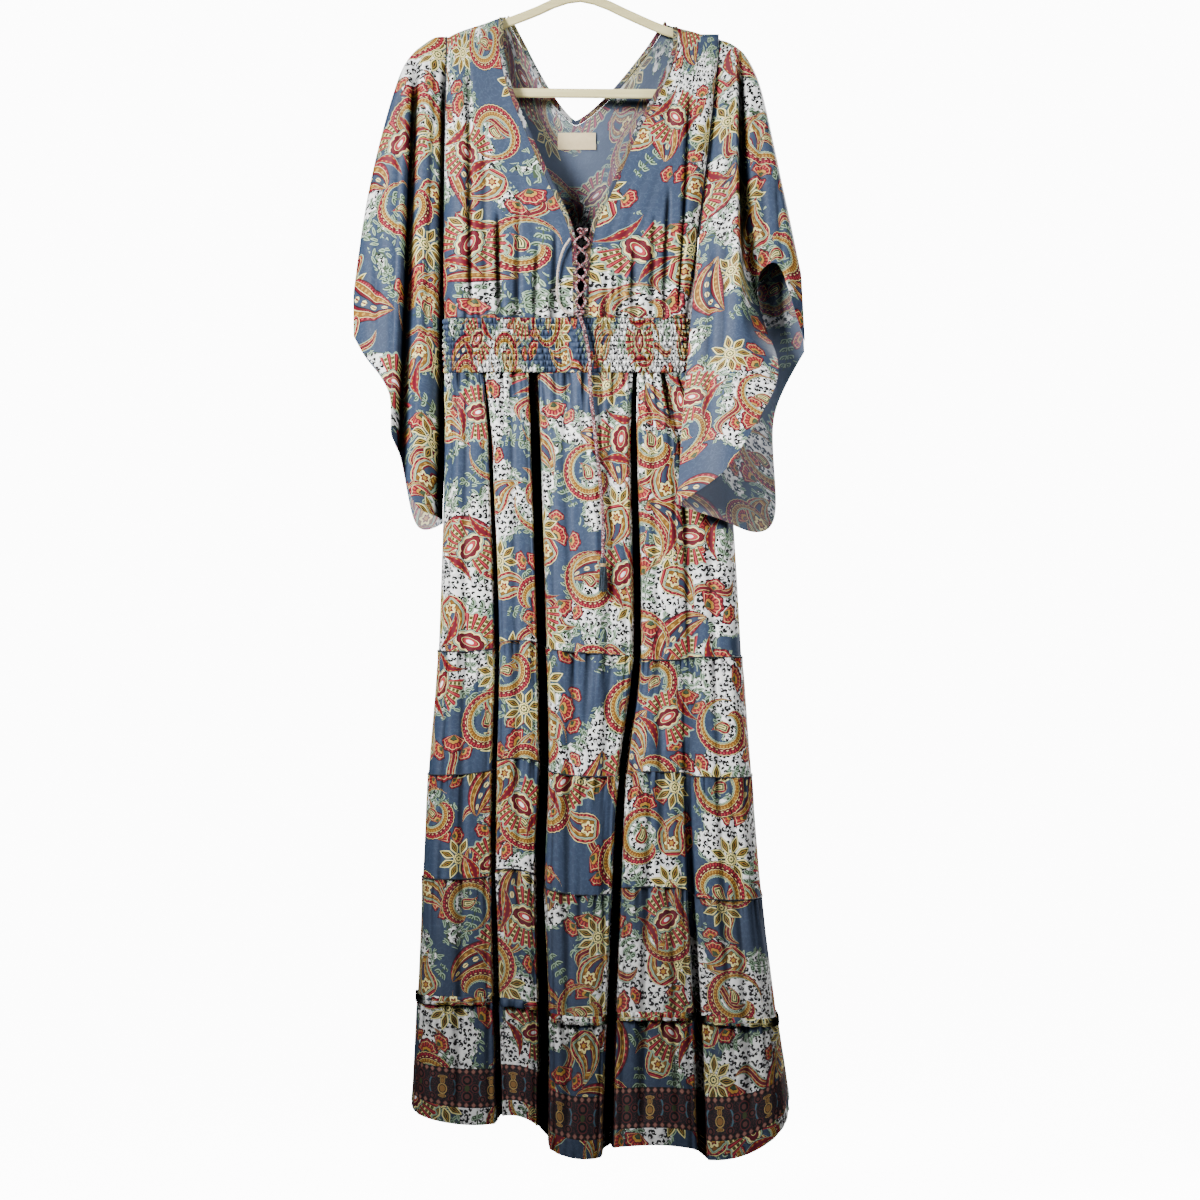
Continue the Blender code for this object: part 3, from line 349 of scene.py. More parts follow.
def fan(x, y, size, lobes):
    """Fringed fan of a flower over a green calyx: its colour and depth."""
    rise = y + 0.75 * size
    r, _ = polar(x, rise)
    lean = x.angle(rise)
    edge = (abs((lean * (lobes / 2)).cosine()) * 0.17 + 1.62 - lean * lean * 0.20) * size
    depth = (1.0 - r / edge).least((1.28 - abs(lean)) * 1.2)
    colour = bands(depth, INK, 0.04, CRIMSON, 0.19, CREAM, 0.22, PEACH, 0.44, CRIMSON, 0.51, GOLD, 0.66, INK,
                   0.70, SAGE, 0.86, OLIVE)
    veins = (lean * (2 * lobes)).cosine()
    colour = mix(veins.less(-0.1) * depth.over(0.22) * depth.less(0.46), colour, CRIMSON)
    return mix(veins.over(0.5) * depth.over(0.06) * depth.less(0.18), colour, ROSE), depth


def draw_carnation(x, y):
    """Three fringed flowers of falling size on one stem."""
    colour, out = fan(x, y, 1.10, 11)
    for away_x, away_y, size, lobes, lean in ((1.75, 0.9, 0.86, 9, -0.9), (-1.5, 1.1, 0.72, 7, 0.8)):
        near_x, near_y = x - away_x, y - away_y
        over, up = near_x * cos(lean) + near_y * sin(lean), near_y * cos(lean) - near_x * sin(lean)
        small, depth = fan(over, up, size, lobes)
        colour = mix(depth.over(0.0), colour, small)
        out = out.most(depth)
    return colour, out.over(0.0)


def draw_medallion(x, y):
    """Fans of crimson and green rays above and below a long red eye, with a winged scroll on each side."""
    rise = abs(y) + 0.75
    reach, _ = polar(x, rise)
    lean = x.angle(rise)
    wave = (lean * 26).cosine()
    ends = reach.less(3.85 + wave * 0.16) * reach.over(1.55) * abs(lean).less(0.50)
    beam = bands(wave * 0.5 + 0.5, OLIVE, 0.26, SAGE, 0.38, CREAM, 0.46, INK, 0.52, CRIMSON, 0.92, ROSE)
    rungs = (reach * 13).sine().over(0.55) * wave.less(-0.25)
    colour = mix(reach.over(3.65 + wave * 0.16), mix(rungs, beam, CREAM), MINT)
    scallop = abs((x * 3.6).sine()) * 0.16
    collar = reach.less(1.95 + scallop) * abs(lean).less(0.9) * reach.over(0.9)
    lace = bands(reach - 1.45 - scallop, CRIMSON, 0.10, CREAM, 0.26, INK, 0.30, MINT, 0.42, INK)
    colour = mix(collar, colour, lace)
    eye = 1.0 - ((x * (1 / 1.45)) ** 2.0 + (y * (1 / 0.66)) ** 2.0).root()
    core = bands(eye, INK, 0.05, CRIMSON, 0.36, CREAM, 0.42, INK, 0.48, ROSE, 0.72, CHALK)
    colour = mix(eye.over(0.0), colour, core)
    side = abs(x) - 2.15 - (y * y - 0.6) * 0.16
    wing = 1.0 - abs(side) / ((1.0 - abs(y) * (1 / 2.4)).most(0.02) * 0.62)
    feather = bands(wing, MINT, 0.16, INK, 0.24, ORANGE, 0.66, CRIMSON)
    feather = dotted(feather, wing, (y, 11, 0.45, 0.2, GOLD))
    flying = wing.over(0.0) * abs(y).less(2.4)
    return mix(flying, colour, feather), ends.most(collar).most(eye.over(0.0)).most(flying)


def draw_scroll(x, y):
    """Orange scroll with a mint outline, an S of tapering width."""
    bent = x - (y * 1.25).sine() * 0.85
    wide = (1.0 - abs(y) * (1 / 2.4)).most(0.0) ** 0.6
    depth = 1.0 - abs(bent) / (wide.most(0.03) * 0.80)
    colour = bands(depth, INK, 0.05, MINT, 0.26, INK, 0.31, ORANGE, 0.62, CREAM, 0.68, CRIMSON)
    return dotted(colour, depth, (y, 14, 0.47, 0.16, GOLD)), depth.over(0.0) * abs(y).less(2.4)


def draw_sprig(x, y):
    """Stem with pairs of slim leaves."""
    side = abs(x - 0.10 * y * y)
    step = (y * 1.15).fraction() - 0.5
    half = (1.0 - abs(y) * (1 / 2.4)).most(0.0) * 0.42 + 0.24
    out = side * 0.80 + step * 0.50
    cross = abs(side * 0.60 - step * 0.66)
    leaf = 1.0 - ((out - half) / half) ** 2.0 - cross * 2.7
    colour = bands(leaf, INK, 0.10, MINT, 0.46, INK, 0.52, SAGE, 0.85, MINT)
    stem = side.less(0.07) * abs(y).less(2.1)
    return mix(stem * leaf.less(0.1), colour, SAGE), (leaf.over(0.0) * abs(y).less(2.0)).most(stem)


# A layer of motifs: one in each cell of a stepped lattice, shifted and turned by chance.
Layer = namedtuple("Layer", "name draw wide high room seed share")
LAYERS = (
    Layer("sprig", draw_sprig, 4.4, 5.0, 1.2, 11.0, 0.50),
    Layer("scroll", draw_scroll, 7.0, 8.2, 2.4, 23.0, 0.62),
    Layer("carnation", draw_carnation, 6.8, 7.4, 1.8, 17.0, 0.78),
    Layer("rosette", draw_rosette, 9.4, 10.2, 3.6, 3.0, 0.76),
    Layer("leaf", draw_leaf, 11.4, 12.2, 2.5, 5.0, 0.66),
    Layer("paisley", draw_paisley, 9.2, 9.8, 3.0, 29.0, 0.70),
    Layer("crescent", draw_crescent, 10.0, 10.8, 3.0, 7.0, 0.80),
    Layer("medallion", draw_medallion, 12.0, 12.8, 4.0, 13.0, 0.74),
)


def scattered(place, scale):
    """Scattered centres: the way from the nearest one, turned by chance, its length, and a chance."""
    centre = texture(place.tree, "ShaderNodeTexVoronoi", Vector=place, Scale=scale, Randomness=0.85)
    centre.voronoi_dimensions = "2D"
    found = {socket.name: Term(place.tree, socket) for socket in centre.outputs}
    chance, spin, _ = split(found["Color"])
    x, y, _ = split(place)
    near_x, near_y, _ = split(found["Position"])
    across, down, _ = split(turned(x - near_x, y - near_y, spin))
    return across, down, found["Distance"] * (1 / scale), chance


def leopard_ground(place):
    """Slate ground with tonal scrolls, pale patches of dark spots, and mint leaves where the two meet."""
    field = noise(place, 0.092, 3.0, Roughness=0.55, Distortion=0.5)
    scroll = 1.0 - (abs(noise(place, 1.6, 2.0) - 0.5) * 26).clamped()
    colour = mix(scroll * 0.25, SLATE, SLATE_LIGHT)
    x, y, _ = split(place)
    ragged_x, ragged_y, _ = split(noise(place, 1.5, 2.0, "Color"))
    across, down, reach, chance = scattered(join(x + ragged_x * 0.50, y + ragged_y * 0.50), 1.86)
    bite = (across - 0.11) * (across - 0.11) + (down - 0.04) * (down - 0.04)
    blot = reach.less(0.165 + 0.095 * chance) * bite.over(0.003 + 0.009 * chance) * chance.over(0.05)
    fur = mix(chance.over(0.55) * 0.35, CHALK, tint(196, 196, 200))
    colour = mix(field.over(0.516), colour, mix(blot, fur, tint(22, 20, 24)))
    across, down, reach, chance = scattered(place, 1.30)
    blade = 1.0 - (down * (1 / 0.62)) ** 2.0 - abs(across) * (1 / 0.20)
    leaf = bands(blade, INK, 0.16, MINT, 0.72, SAGE)
    edge = abs(field - 0.516).less(0.025) * blade.over(0.0)
    stem = abs(field - 0.514 + across * 0.01).less(0.0035)
    return mix(edge, mix(stem, colour, SAGE), leaf)


def draw_print(place):
    """The ground and, over it, one layer of motifs after another."""
    x, y = (part * (100 / PRINT_SIZE) for part in split(place)[:2])
    colour = leopard_ground(join(x, y))
    for layer in LAYERS:
        column = ((x + layer.seed * 1.7) * (1 / layer.wide)).floor()
        lifted = y + (column * 0.618).fraction() * layer.high + layer.seed * 2.3
        row = (lifted * (1 / layer.high)).floor()
        drawn = texture(x.tree, "ShaderNodeTexWhiteNoise", Vector=join(column, row, layer.seed))
        chance = Term(x.tree, drawn.outputs["Value"])
        first, second, third = split(Term(x.tree, drawn.outputs["Color"]))
        near_x = x + layer.seed * 1.7 - (column + 0.5) * layer.wide + (first - 0.5) * layer.room
        near_y = lifted - (row + 0.5) * layer.high + (second - 0.5) * layer.room
        motif = use_group(pattern_group(layer.name, layer.draw), turned(near_x, near_y, third))
        colour = mix(motif["Mask"] * chance.less(layer.share), colour, motif["Colour"])
    return [colour]


def draw_weave(place):
    """Crepe grain: the height of its crinkled threads and a slight change of tone."""
    fine = noise(place, WEAVE_SCALE, 2.0)
    return fine, noise(place, 28.0, 3.0) * 0.6 + fine * 0.4


PAISLEY_PRINT = new_group("paisley print", draw_print, ("Colour", "Color"))
CREPE_WEAVE = new_group("crepe weave", draw_weave, ("Height", "Float"), ("Tone", "Float"))


def paint(shader, colour, height=None, strength=0.4, distance=0.0003):
    """Give a shader its colour and, where there is a height, a fine relief."""
    tree = shader.id_data
    plug(tree, [(shader.inputs["Base Color"], colour)])
    if height is not None:
        bump = texture(tree, "ShaderNodeBump", Strength=strength, Distance=distance, Height=height)
        tree.links.new(bump.outputs[0], shader.inputs["Normal"])


def cloth_place(tree, label):
    node = tree.nodes.new("ShaderNodeUVMap")
    node.uv_map = label
    return Term(tree, node.outputs[0])


def cloth_material(name, veil=None, overlay=None):
    """Printed crepe; a veil is a share and colour laid over it, and an overlay group draws a border on it.
    Painted shade from the piece's hollow attribute darkens its creases and folds.
    """
    made, tree, shader = new_material(name, 0.58)
    place = cloth_place(tree, "cloth")
    colour = use_group(PAISLEY_PRINT, place)["Colour"]
    woven = use_group(CREPE_WEAVE, place)
    if overlay:
        border = use_group(overlay, cloth_place(tree, "drop"))
        colour = mix(border["Mask"], colour, border["Colour"])
    if veil:
        colour = mix(veil[0], colour, veil[1])
    colour = mix((woven["Tone"] - 0.30).clamped() * 0.5, colour, tint(30, 34, 46))
    # Painted shade: the hollow attribute darkens the crepe to near black in its creases and deep folds, and
    # takes its shine away there.
    crease = tree.nodes.new("ShaderNodeAttribute")
    crease.attribute_name = "hollow"
    depth = Term(tree, crease.outputs["Fac"])
    plug(tree, [(shader.inputs["Specular IOR Level"], (1.0 - depth) * 0.22)])
    paint(shader, mix(depth * CREASE_SHADE, colour, tint(10, 9, 10)), woven["Height"], 0.35, 0.0004)
    return made


RIGHT_SIDE = cloth_material("printed crepe")
WRONG_SIDE = cloth_material("printed crepe wrong side", veil=(0.38, tint(166, 174, 188)))
BINDING_SIDE = cloth_material("printed crepe binding", veil=(0.62, tint(84, 88, 104)))

# ---- hanger: slim slat frame and wire hook ----
# A usual slim wooden hanger: a bent slat with a lower bar, lacquered cream, and a steel wire hook screwed
# into its peak. Both keep the shapes of the frame's own solids.
def object_place(tree):
    return Term(tree, tree.nodes.new("ShaderNodeTexCoord").outputs["Object"])


def lacquered_wood():
    made, tree, shader = new_material("cream lacquered wood", 0.38)
    x, y, z = split(object_place(tree))
    fibre = noise(join(x * 6.0, y * 160.0, z * 160.0), 1.0, 4.0, Distortion=0.6)
    paint(shader, mix((fibre - 0.35).clamped(), tint(240, 234, 200), tint(212, 200, 150)), fibre, 0.15)
    shader.inputs["Coat Weight"].default_value = 0.3
    return made


def drawn_wire():
    made, tree, shader = new_material("plated wire", 0.2)
    worn = noise(object_place(tree), 900.0, 2.0)
    paint(shader, mix(worn, tint(214, 214, 216), tint(170, 170, 174)))
    plug(tree, [(shader.inputs["Roughness"], worn * 0.25 + 0.14)])
    shader.inputs["Metallic"].default_value = 1.0
    return made


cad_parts["hanger"].material_slots[0].material = lacquered_wood()
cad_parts["hanger_hook"].material_slots[0].material = drawn_wire()

# ---- bodice back ----
# The back is one panel of crepe with a V neckline, hung over the hanger's arms and gathered into the smocked
# waist. Its edge is bound with a narrow strip of the same cloth, and a bare woven label is sewn inside.
CLOTH = 0.0008               # the crepe's own thickness with its crinkle
WALL = 0.0015                # thickness of the frame's walls, whose outer faces the cloth follows
SEAM = 0.0003                # room between neighbouring pieces
SMOCK_TOP = -0.504
BINDING_WIDTH = 0.006
BINDING_DEPTH = 0.0026
BINDING_SECTION = ((0, -0.5), (0.12, -0.5), (0.5, -0.42), (0.88, -0.5), (1, -0.3), (1, 0.3), (0.88, 0.5),
                   (0.5, 0.42), (0.12, 0.5), (0, 0.5))
CLOTH_ANGLE = 1.0            # edges sharper than these angles are shaded as edges
BINDING_ANGLE = 0.9
TRIM_ANGLE = 1.2
WAIST_CRINKLE = 0.0016


def millimetres(kind, *rows):
    """Rows of a table given in millimetres."""
    return tuple(kind(*(value / 1000 for value in row)) for row in rows)


Row = namedtuple("Row", "z side_x side_y edge_x full")
BODICE_LEFT = millimetres(
    Row,
    (-150, -174, 8, -100, 14),
    (-200, -175, 12, -89.5, 24),
    (-250, -176, 13, -70, 31),
    (-325, -177.5, 12, -37, 37),
    (-397, -178.9, 6, -6.5, 40),
    (-440, -179.8, 2, -3.5, 41),
    (-503, -178.5, 0.2, -3, 41),
)
BODICE_RIGHT = millimetres(
    Row,
    (-150, 181.5, 8, 121.5, 14),
    (-200, 176.1, 12, 103, 24),
    (-250, 170.6, 13, 76, 31),
    (-325, 162.5, 12, 43, 37),
    (-397, 154.7, 6, 11.5, 40),
    (-440, 151.5, 2, 6.5, 41),
    (-503, 145, 0.2, 5, 41),
)
ARM_X = np.array([-0.196, -0.173, -0.117, -0.0585, -0.022, 0.0, 0.0286, 0.059, 0.125, 0.156, 0.198])
ARM_Z = np.array([
    -0.153, -0.1375, -0.117, -0.095, -0.0795, -0.076, -0.083, -0.097, -0.1245, -0.133, -0.1575,
])
ARM_CLEAR = 0.0010
BACK_V_BOTTOM = -0.248
BACK_NECK_CURVE = 1.4
BACK_NECK = (-0.0970, 0.1130)
BACK_FULL = 0.88
BODICE_GATHER = 0.0027
BODICE_FADE = 0.060
BACK_SHARES = np.array([0, 0.03, 0.07, 0.12, 0.16, 0.195, 0.2169, 0.255, 0.31, 0.37, 0.43, 0.47, 0.4895,
                        0.52, 0.58, 0.64, 0.70, 0.765, 0.8068, 0.835, 0.87, 0.91, 0.95, 0.98, 1.0])
NECK_BEHIND_ARM = 0.0062
LABEL_PLACE = (-0.0045, -0.268)
LABEL_SIZE = (0.050, 0.022)

# A soft crease pressed into cloth: a line from top to bottom, as wide and deep as given. A negative depth
# raises a ridge.
Crease = namedtuple("Crease", "top_x top_z low_x low_z width depth")
BACK_CREASES = millimetres(
    Crease,
    (-120, -200, -128, -480, 5, 4),
    (-60, -300, -66, -500, 4, 3.5),
    (-10, -320, -12, -500, 3.5, 2.5),
    (52, -290, 46, -500, 4, 4),
    (110, -180, 96, -470, 5, 4.5),
    (134, -260, 120, -500, 4, 3),
)


def along(stops, values, where):
    """Smooth curve through `values` at `stops`, read at `where`."""
    stops = np.asarray(stops, float)
    values = np.asarray(values, float)
    slopes = np.gradient(values, stops)
    place = np.clip(np.searchsorted(stops, where, side="right") - 1, 0, len(stops) - 2)
    width = stops[place + 1] - stops[place]
    part = np.clip((where - stops[place]) / width, 0.0, 1.0)
    start = (1 + 2 * part) * (1 - part) ** 2
    lean_out = part * (1 - part) ** 2
    end = part ** 2 * (3 - 2 * part)
    lean_in = part ** 2 * (part - 1)
    return (start * values[place] + lean_out * width * slopes[place]
            + end * values[place + 1] + lean_in * width * slopes[place + 1])


def smooth_step(value):
    value = np.clip(value, 0.0, 1.0)
    return value * value * (3 - 2 * value)


def unit(vectors):
    return vectors / np.maximum(np.linalg.norm(vectors, axis=-1, keepdims=True), 1e-12)


def run_length(line):
    """Distance along a line of points, or along the mean row of a grid of them."""
    steps = np.linalg.norm(np.diff(line, axis=-2), axis=-1)
    return np.concatenate([[0], np.cumsum(steps if steps.ndim == 1 else steps.mean(axis=0))])


def surface_normals(grid, turn):
    """Normals of a grid of points; turn is 1 or -1, whichever points them out of the cloth."""
    return unit(np.cross(np.gradient(grid, axis=0), np.gradient(grid, axis=1)) * turn)


def press(grid, normals, creases, fade=0.035):
    """Press creases into a grid, each a soft trough that fades in and out at its ends."""
    moved = np.zeros(grid.shape[:2])
    for crease in creases:
        part = (grid[:, :, 2] - crease.top_z) / (crease.low_z - crease.top_z)
        middle = crease.top_x + (crease.low_x - crease.top_x) * part
        ends = fade / abs(crease.low_z - crease.top_z)
        strength = smooth_step(part / ends) * smooth_step((1 - part) / ends)
        moved -= crease.depth * strength * np.exp(-((grid[:, :, 0] - middle) / crease.width) ** 2)
    return grid + normals * moved[:, :, None]


def crinkle(across, down, seed, wave=0.012):
    """Small uneven vertical folds, from -1 to 1; across and down are in metres."""
    chance = np.random.default_rng(seed)
    total = np.zeros(np.broadcast(across, down).shape)
    for scale in (1.0, 1.62, 2.47):
        shift = chance.uniform(0, tau)
        sway = chance.uniform(0.5, 1.0) * 0.6 * wave
        bent = across + sway * np.sin(down * chance.uniform(9, 17) + chance.uniform(0, tau))
        total += np.sin(tau * bent * scale / wave + shift) / scale
    return total / 1.9


def cloth_map(grid):
    """Metres of cloth across and down at each point of a grid."""
    return np.stack(np.meshgrid(run_length(grid), -run_length(grid.swapaxes(0, 1))), axis=2)


def hollows(grid, turn, half, depth):
    """How far each point lies below the cloth to its left and right, from 0 to 1; this sets the painted shade
    in hollows.
    """
    padded = np.pad(grid, ((0, 0), (half, half), (0, 0)), mode="edge")
    total = np.cumsum(np.pad(padded, ((0, 0), (1, 0), (0, 0))), axis=1)
    around = (total[:, 2 * half + 1:] - total[:, :-2 * half - 1]) / (2 * half + 1)
    sunk = np.sum((around - grid) * surface_normals(around, turn), axis=2)
    return 1 - np.exp(-np.maximum(sunk, 0) / depth)


def cut_size(grid):
    """Width and length of the cloth that a grid lays out."""
    places = cloth_map(grid)
    return (float(places[-1, -1, 0]), float(-places[-1, -1, 1]))


def new_mesh(name, points, faces, materials, sharp, maps=(), hollow=None):
    """Smooth mesh; each map gives every point its place on the cloth, and hollow how much painted shade it
    gets.
    """
    mesh = bpy.data.meshes.new(name)
    mesh.from_pydata(points.reshape(-1, 3).tolist(), [], faces)
    for material in materials:
        mesh.materials.append(material)
    corners = np.empty(len(mesh.loops), dtype=np.int32)
    mesh.loops.foreach_get("vertex_index", corners)
    for label, places in maps:
        layer = mesh.uv_layers.new(name=label)
        layer.data.foreach_set("uv", places.reshape(-1, 2)[corners].ravel())
    if hollow is not None:
        shade = mesh.attributes.new("hollow", "FLOAT", "POINT")
        shade.data.foreach_set("value", np.ravel(hollow))
    mesh.shade_smooth()
    mesh.set_sharp_from_angle(angle=sharp)
    return link(bpy.data.objects.new(name, mesh))


def cloth_piece(name, grid, turn, start, materials=(RIGHT_SIDE, WRONG_SIDE), drop=None, thickness=CLOTH,
                hollow=None, fullness=1.0, places=None):
    """Thin closed shell of cloth: the grid is its right side, and its map starts at `start` on the print."""
    rows, columns = grid.shape[:2]
    count = rows * columns
    ids = np.arange(count).reshape(rows, columns)
    quads = np.stack([ids[:-1, :-1], ids[1:, :-1], ids[1:, 1:], ids[:-1, 1:]], axis=2)
    quads = quads.reshape(-1, 4)[:, ::turn]
    rim = np.concatenate([ids[0, :-1], ids[:-1, -1], ids[-1, :0:-1], ids[:0:-1, 0]])
    after = np.roll(rim, -1)
    edge = np.stack([after, rim, rim + count, after + count], axis=1)[:, ::-turn]
    faces = np.concatenate([quads, quads[:, ::-1] + count, edge])
    laid = cloth_map(grid) if places is None else places
    maps = [("cloth", np.stack([laid * (fullness, 1.0) + start] * 2))]
    if drop is not None:
        maps.append(("drop", np.stack([drop] * 2)))
    sunk = np.zeros((rows, columns)) if hollow is None else hollow
    made = new_mesh(name, np.stack([grid, grid - thickness * surface_normals(grid, turn)]), faces.tolist(),
                    materials, CLOTH_ANGLE, maps, np.stack([sunk] * 2))
    sides = np.zeros(len(faces), dtype=np.int32)
    sides[len(quads):2 * len(quads)] = 1
    made.data.polygons.foreach_set("material_index", sides)
    return made


def arm_top(x):
    return along(ARM_X, ARM_Z, x)


def shoulder_z(x):
    """The cloth's outer face over the hanger's arm."""
    return arm_top(np.clip(x, ARM_X[1], ARM_X[-2])) + WALL + ARM_CLEAR


def read_rows(rows, field, z):
    """Value of a field of the bodice's rows at height z."""
    levels = [-row.z for row in rows]
    return along(levels, [getattr(row, field) for row in rows], np.clip(-z, levels[0], levels[-1]))


def turn_over_arm(out, drop):
    """Bring a depth back to the shoulder seam over the top of the arm."""
    turned = np.clip(drop / 0.010, 0, 1)
    return SEAM / 2 + (out - SEAM / 2) * np.sqrt(turned * (2 - turned))


def back_neck_z(x):
    """Bottom of the back neckline's V at x, or the shoulder outside it."""
    left, right = BACK_NECK
    reach = np.where(x < 0, x / left, x / right)
    bottom = BACK_V_BOTTOM + SEAM
    rise = shoulder_z(np.where(x < 0, left, right)) - bottom
    return np.where(reach < 1, bottom + rise * np.abs(reach) ** BACK_NECK_CURVE, shoulder_z(x))


def back_grid(shares, parts):
    """Outer points of the back; shares run from the left side to the right, parts from the neck down."""
    shares, parts = np.asarray(shares, float)[None, :], np.asarray(parts, float)[:, None]
    top_x = BODICE_LEFT[0].side_x + (BODICE_RIGHT[0].side_x - BODICE_LEFT[0].side_x) * shares
    top = back_neck_z(top_x)
    z = top + (SMOCK_TOP + SEAM - top) * parts
    left = read_rows(BODICE_LEFT, "side_x", z)
    right = read_rows(BODICE_RIGHT, "side_x", z)
    side_y = np.maximum(read_rows(BODICE_LEFT, "side_y", z), WALL + SEAM / 2)
    full = read_rows(BODICE_LEFT, "full", z) * BACK_FULL
    near = np.clip(np.minimum(shares, 1 - shares) / 0.10, 0, 1)
    out = turn_over_arm(side_y + (full - side_y) * np.sqrt(near * (2 - near)), shoulder_z(top_x) - z)
    in_neck = (top_x > BACK_NECK[0]) & (top_x < BACK_NECK[1])
    out = np.where(in_neck, np.maximum(out, NECK_BEHIND_ARM), out)
    wave = np.interp(shares, BACK_SHARES, np.where(np.arange(len(BACK_SHARES)) % 2, 1, -1))
    relief = BODICE_GATHER * np.sin(wave * pi / 2) * np.exp(-(z - SMOCK_TOP) / BODICE_FADE)
    relief = relief * smooth_step((np.minimum(shares, 1 - shares) - 0.07) / 0.05)
    return np.stack([left + (right - left) * shares, out + relief, z], axis=2)


def fine_parts(count, tight=1.35):
    """Shares from 0 to 1 that lie closer together near 0."""
    return np.linspace(0, 1, count) ** tight


def away_from_ends(across, reach):
    """0 at both ends of a run of distances, and 1 from `reach` in."""
    return smooth_step(across / reach) * smooth_step((across[-1] - across) / reach)


def gathered_edge(grid, normals, fade, seed):
    """Crinkle cloth above the smocked waist; the crinkles fade away from it."""
    across = run_length(grid)
    away = np.abs(grid[:, :, 2] - SMOCK_TOP)
    moved = WAIST_CRINKLE * crinkle(across, away, seed) * np.exp(-away / fade) * away_from_ends(across, 0.02)
    return grid + normals * moved[:, :, None]


def tube_faces(count, sides, start=0):
    """Faces of a tube through rings of points, capped at both ends."""
    ids = np.arange(count * sides).reshape(count, sides) + start
    following = np.roll(ids, -1, axis=1)
    faces = np.stack([ids[:-1], following[:-1], following[1:], ids[1:]], axis=2).reshape(-1, 4).tolist()
    return faces + [ids[0, ::-1].tolist(), ids[-1].tolist()]


def facing_out(made):
    """Turn the faces of a closed piece outwards."""
    bpy.ops.object.select_all(action="DESELECT")
    bpy.context.view_layer.objects.active = made
    made.select_set(True)
    bpy.ops.object.mode_set(mode="EDIT")
    bpy.ops.mesh.select_all(action="SELECT")
    bpy.ops.mesh.normals_make_consistent(inside=False)
    bpy.ops.object.mode_set(mode="OBJECT")
    return made


def bound_edge(name, line, width_way):
    """Folded strip sewn along a line of points: width_way points from its sewn side to its free side."""
    run = unit(np.gradient(line, axis=0))
    wide = unit(width_way - np.sum(width_way * run, axis=1, keepdims=True) * run)
    deep = np.cross(run, wide)
    section = BINDING_SECTION
    rings = np.stack([line + wide * BINDING_WIDTH * a + deep * BINDING_DEPTH * b for a, b in section], axis=1)
    around = [a * BINDING_WIDTH * (1 if b < 0 else -1) for a, b in section]
    place = np.stack(np.meshgrid(around, -run_length(line)), axis=2)
    faces = tube_faces(*rings.shape[:2])
    return facing_out(new_mesh(name, rings, faces, [BINDING_SIDE], BINDING_ANGLE, [("cloth", place)]))


def fit(piece, node=None):
    """Fix a piece to the body, and hide the solid that it stands for."""
    if node:
        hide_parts(node)
    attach(piece, "root")
    return piece


back = back_grid(np.linspace(0, 1, 150), fine_parts(90))
back_out = surface_normals(back, -1)
back = gathered_edge(press(back, back_out, BACK_CREASES), back_out, 0.030, seed=21)
# Painted shade in the back's hollows and creases.
bodice_back = cloth_piece("cloth_bodice_back", back, -1, (1.31, 0.42), hollow=hollows(back, -1, 5, 0.0035))
fit(bodice_back, "bodice_back")

neck_line = back_grid(np.linspace(0, 1, 260), [0])[0]
neck_line = neck_line[(neck_line[:, 0] > BACK_NECK[0]) & (neck_line[:, 0] < BACK_NECK[1])]
neck_line[:, 1] = np.maximum(neck_line[:, 1] - WALL / 2, BINDING_DEPTH / 2 + SEAM / 2)
neck_line[:, 2] += SEAM
back_binding = bound_edge("neck_binding_behind", neck_line, np.array([0.0, 0.0, 1.0]))
fit(back_binding, "neck_binding_back")


def label_tape():
    """Undyed woven tape."""
    made, tree, shader = new_material("woven tape", 0.8)
    place = object_place(tree)
    x, _, z = split(place)
    colour = mix(noise(place, 160.0, 3.0) * 0.5, tint(236, 226, 200), tint(206, 190, 160))
    paint(shader, colour, (x * 4200.0).sine() * (z * 4200.0).sine())
    return made


label_across, label_down = np.meshgrid(np.linspace(-0.5, 0.5, 25), np.linspace(0.5, -0.5, 13))
label_x = LABEL_PLACE[0] + LABEL_SIZE[0] * label_across
label_z = LABEL_PLACE[1] + LABEL_SIZE[1] * label_down
label_y = read_rows(BODICE_LEFT, "full", label_z) * BACK_FULL - WALL - 0.0014
label_y = label_y - 0.0005 * np.cos(label_across * pi) * np.sin(label_down * 7 + 1.3)
label_grid = np.stack([label_x, label_y, label_z], axis=2)
label = cloth_piece("label_tape", label_grid, 1, (0, 0), [label_tape()] * 2, thickness=0.0006)
fit(label, "neck_label")
cut_size(back)

# ---- bodice fronts ----
# Two fronts cross nowhere: each runs from its armhole to a bound V edge, hangs from the shoulder over the
# hanger's arm and is gathered into the smocked waist. Long soft creases fall from the shoulders.
NECK_SET = 0.0035
FRONT_CREASES_LEFT = millimetres(
    Crease,
    (-146.5, -170, -143, -500, 3.6, 6),
    (-108, -360, -106.5, -503, 3, 6.2),
    (-80, -330, -83, -500, 3.6, 2.2),
    (-56, -400, -60, -503, 3, 3),
    (-33, -380, -34, -500, 3.2, 2.6),
    (-126, -250, -124, -500, 6, 3),
)
FRONT_CREASES_RIGHT = millimetres(
    Crease,
    (143, -200, 129, -503, 3.4, 7),
    (96, -360, 92, -503, 3.6, 3),
    (70, -400, 67, -503, 3, 3.6),
    (44, -420, 43, -500, 2.6, 2.6),
    (115, -330, 108, -503, 3.2, 5),
    (120, -150, 113, -300, 6, 2.2),
)
FRONT_GATHERS = 5


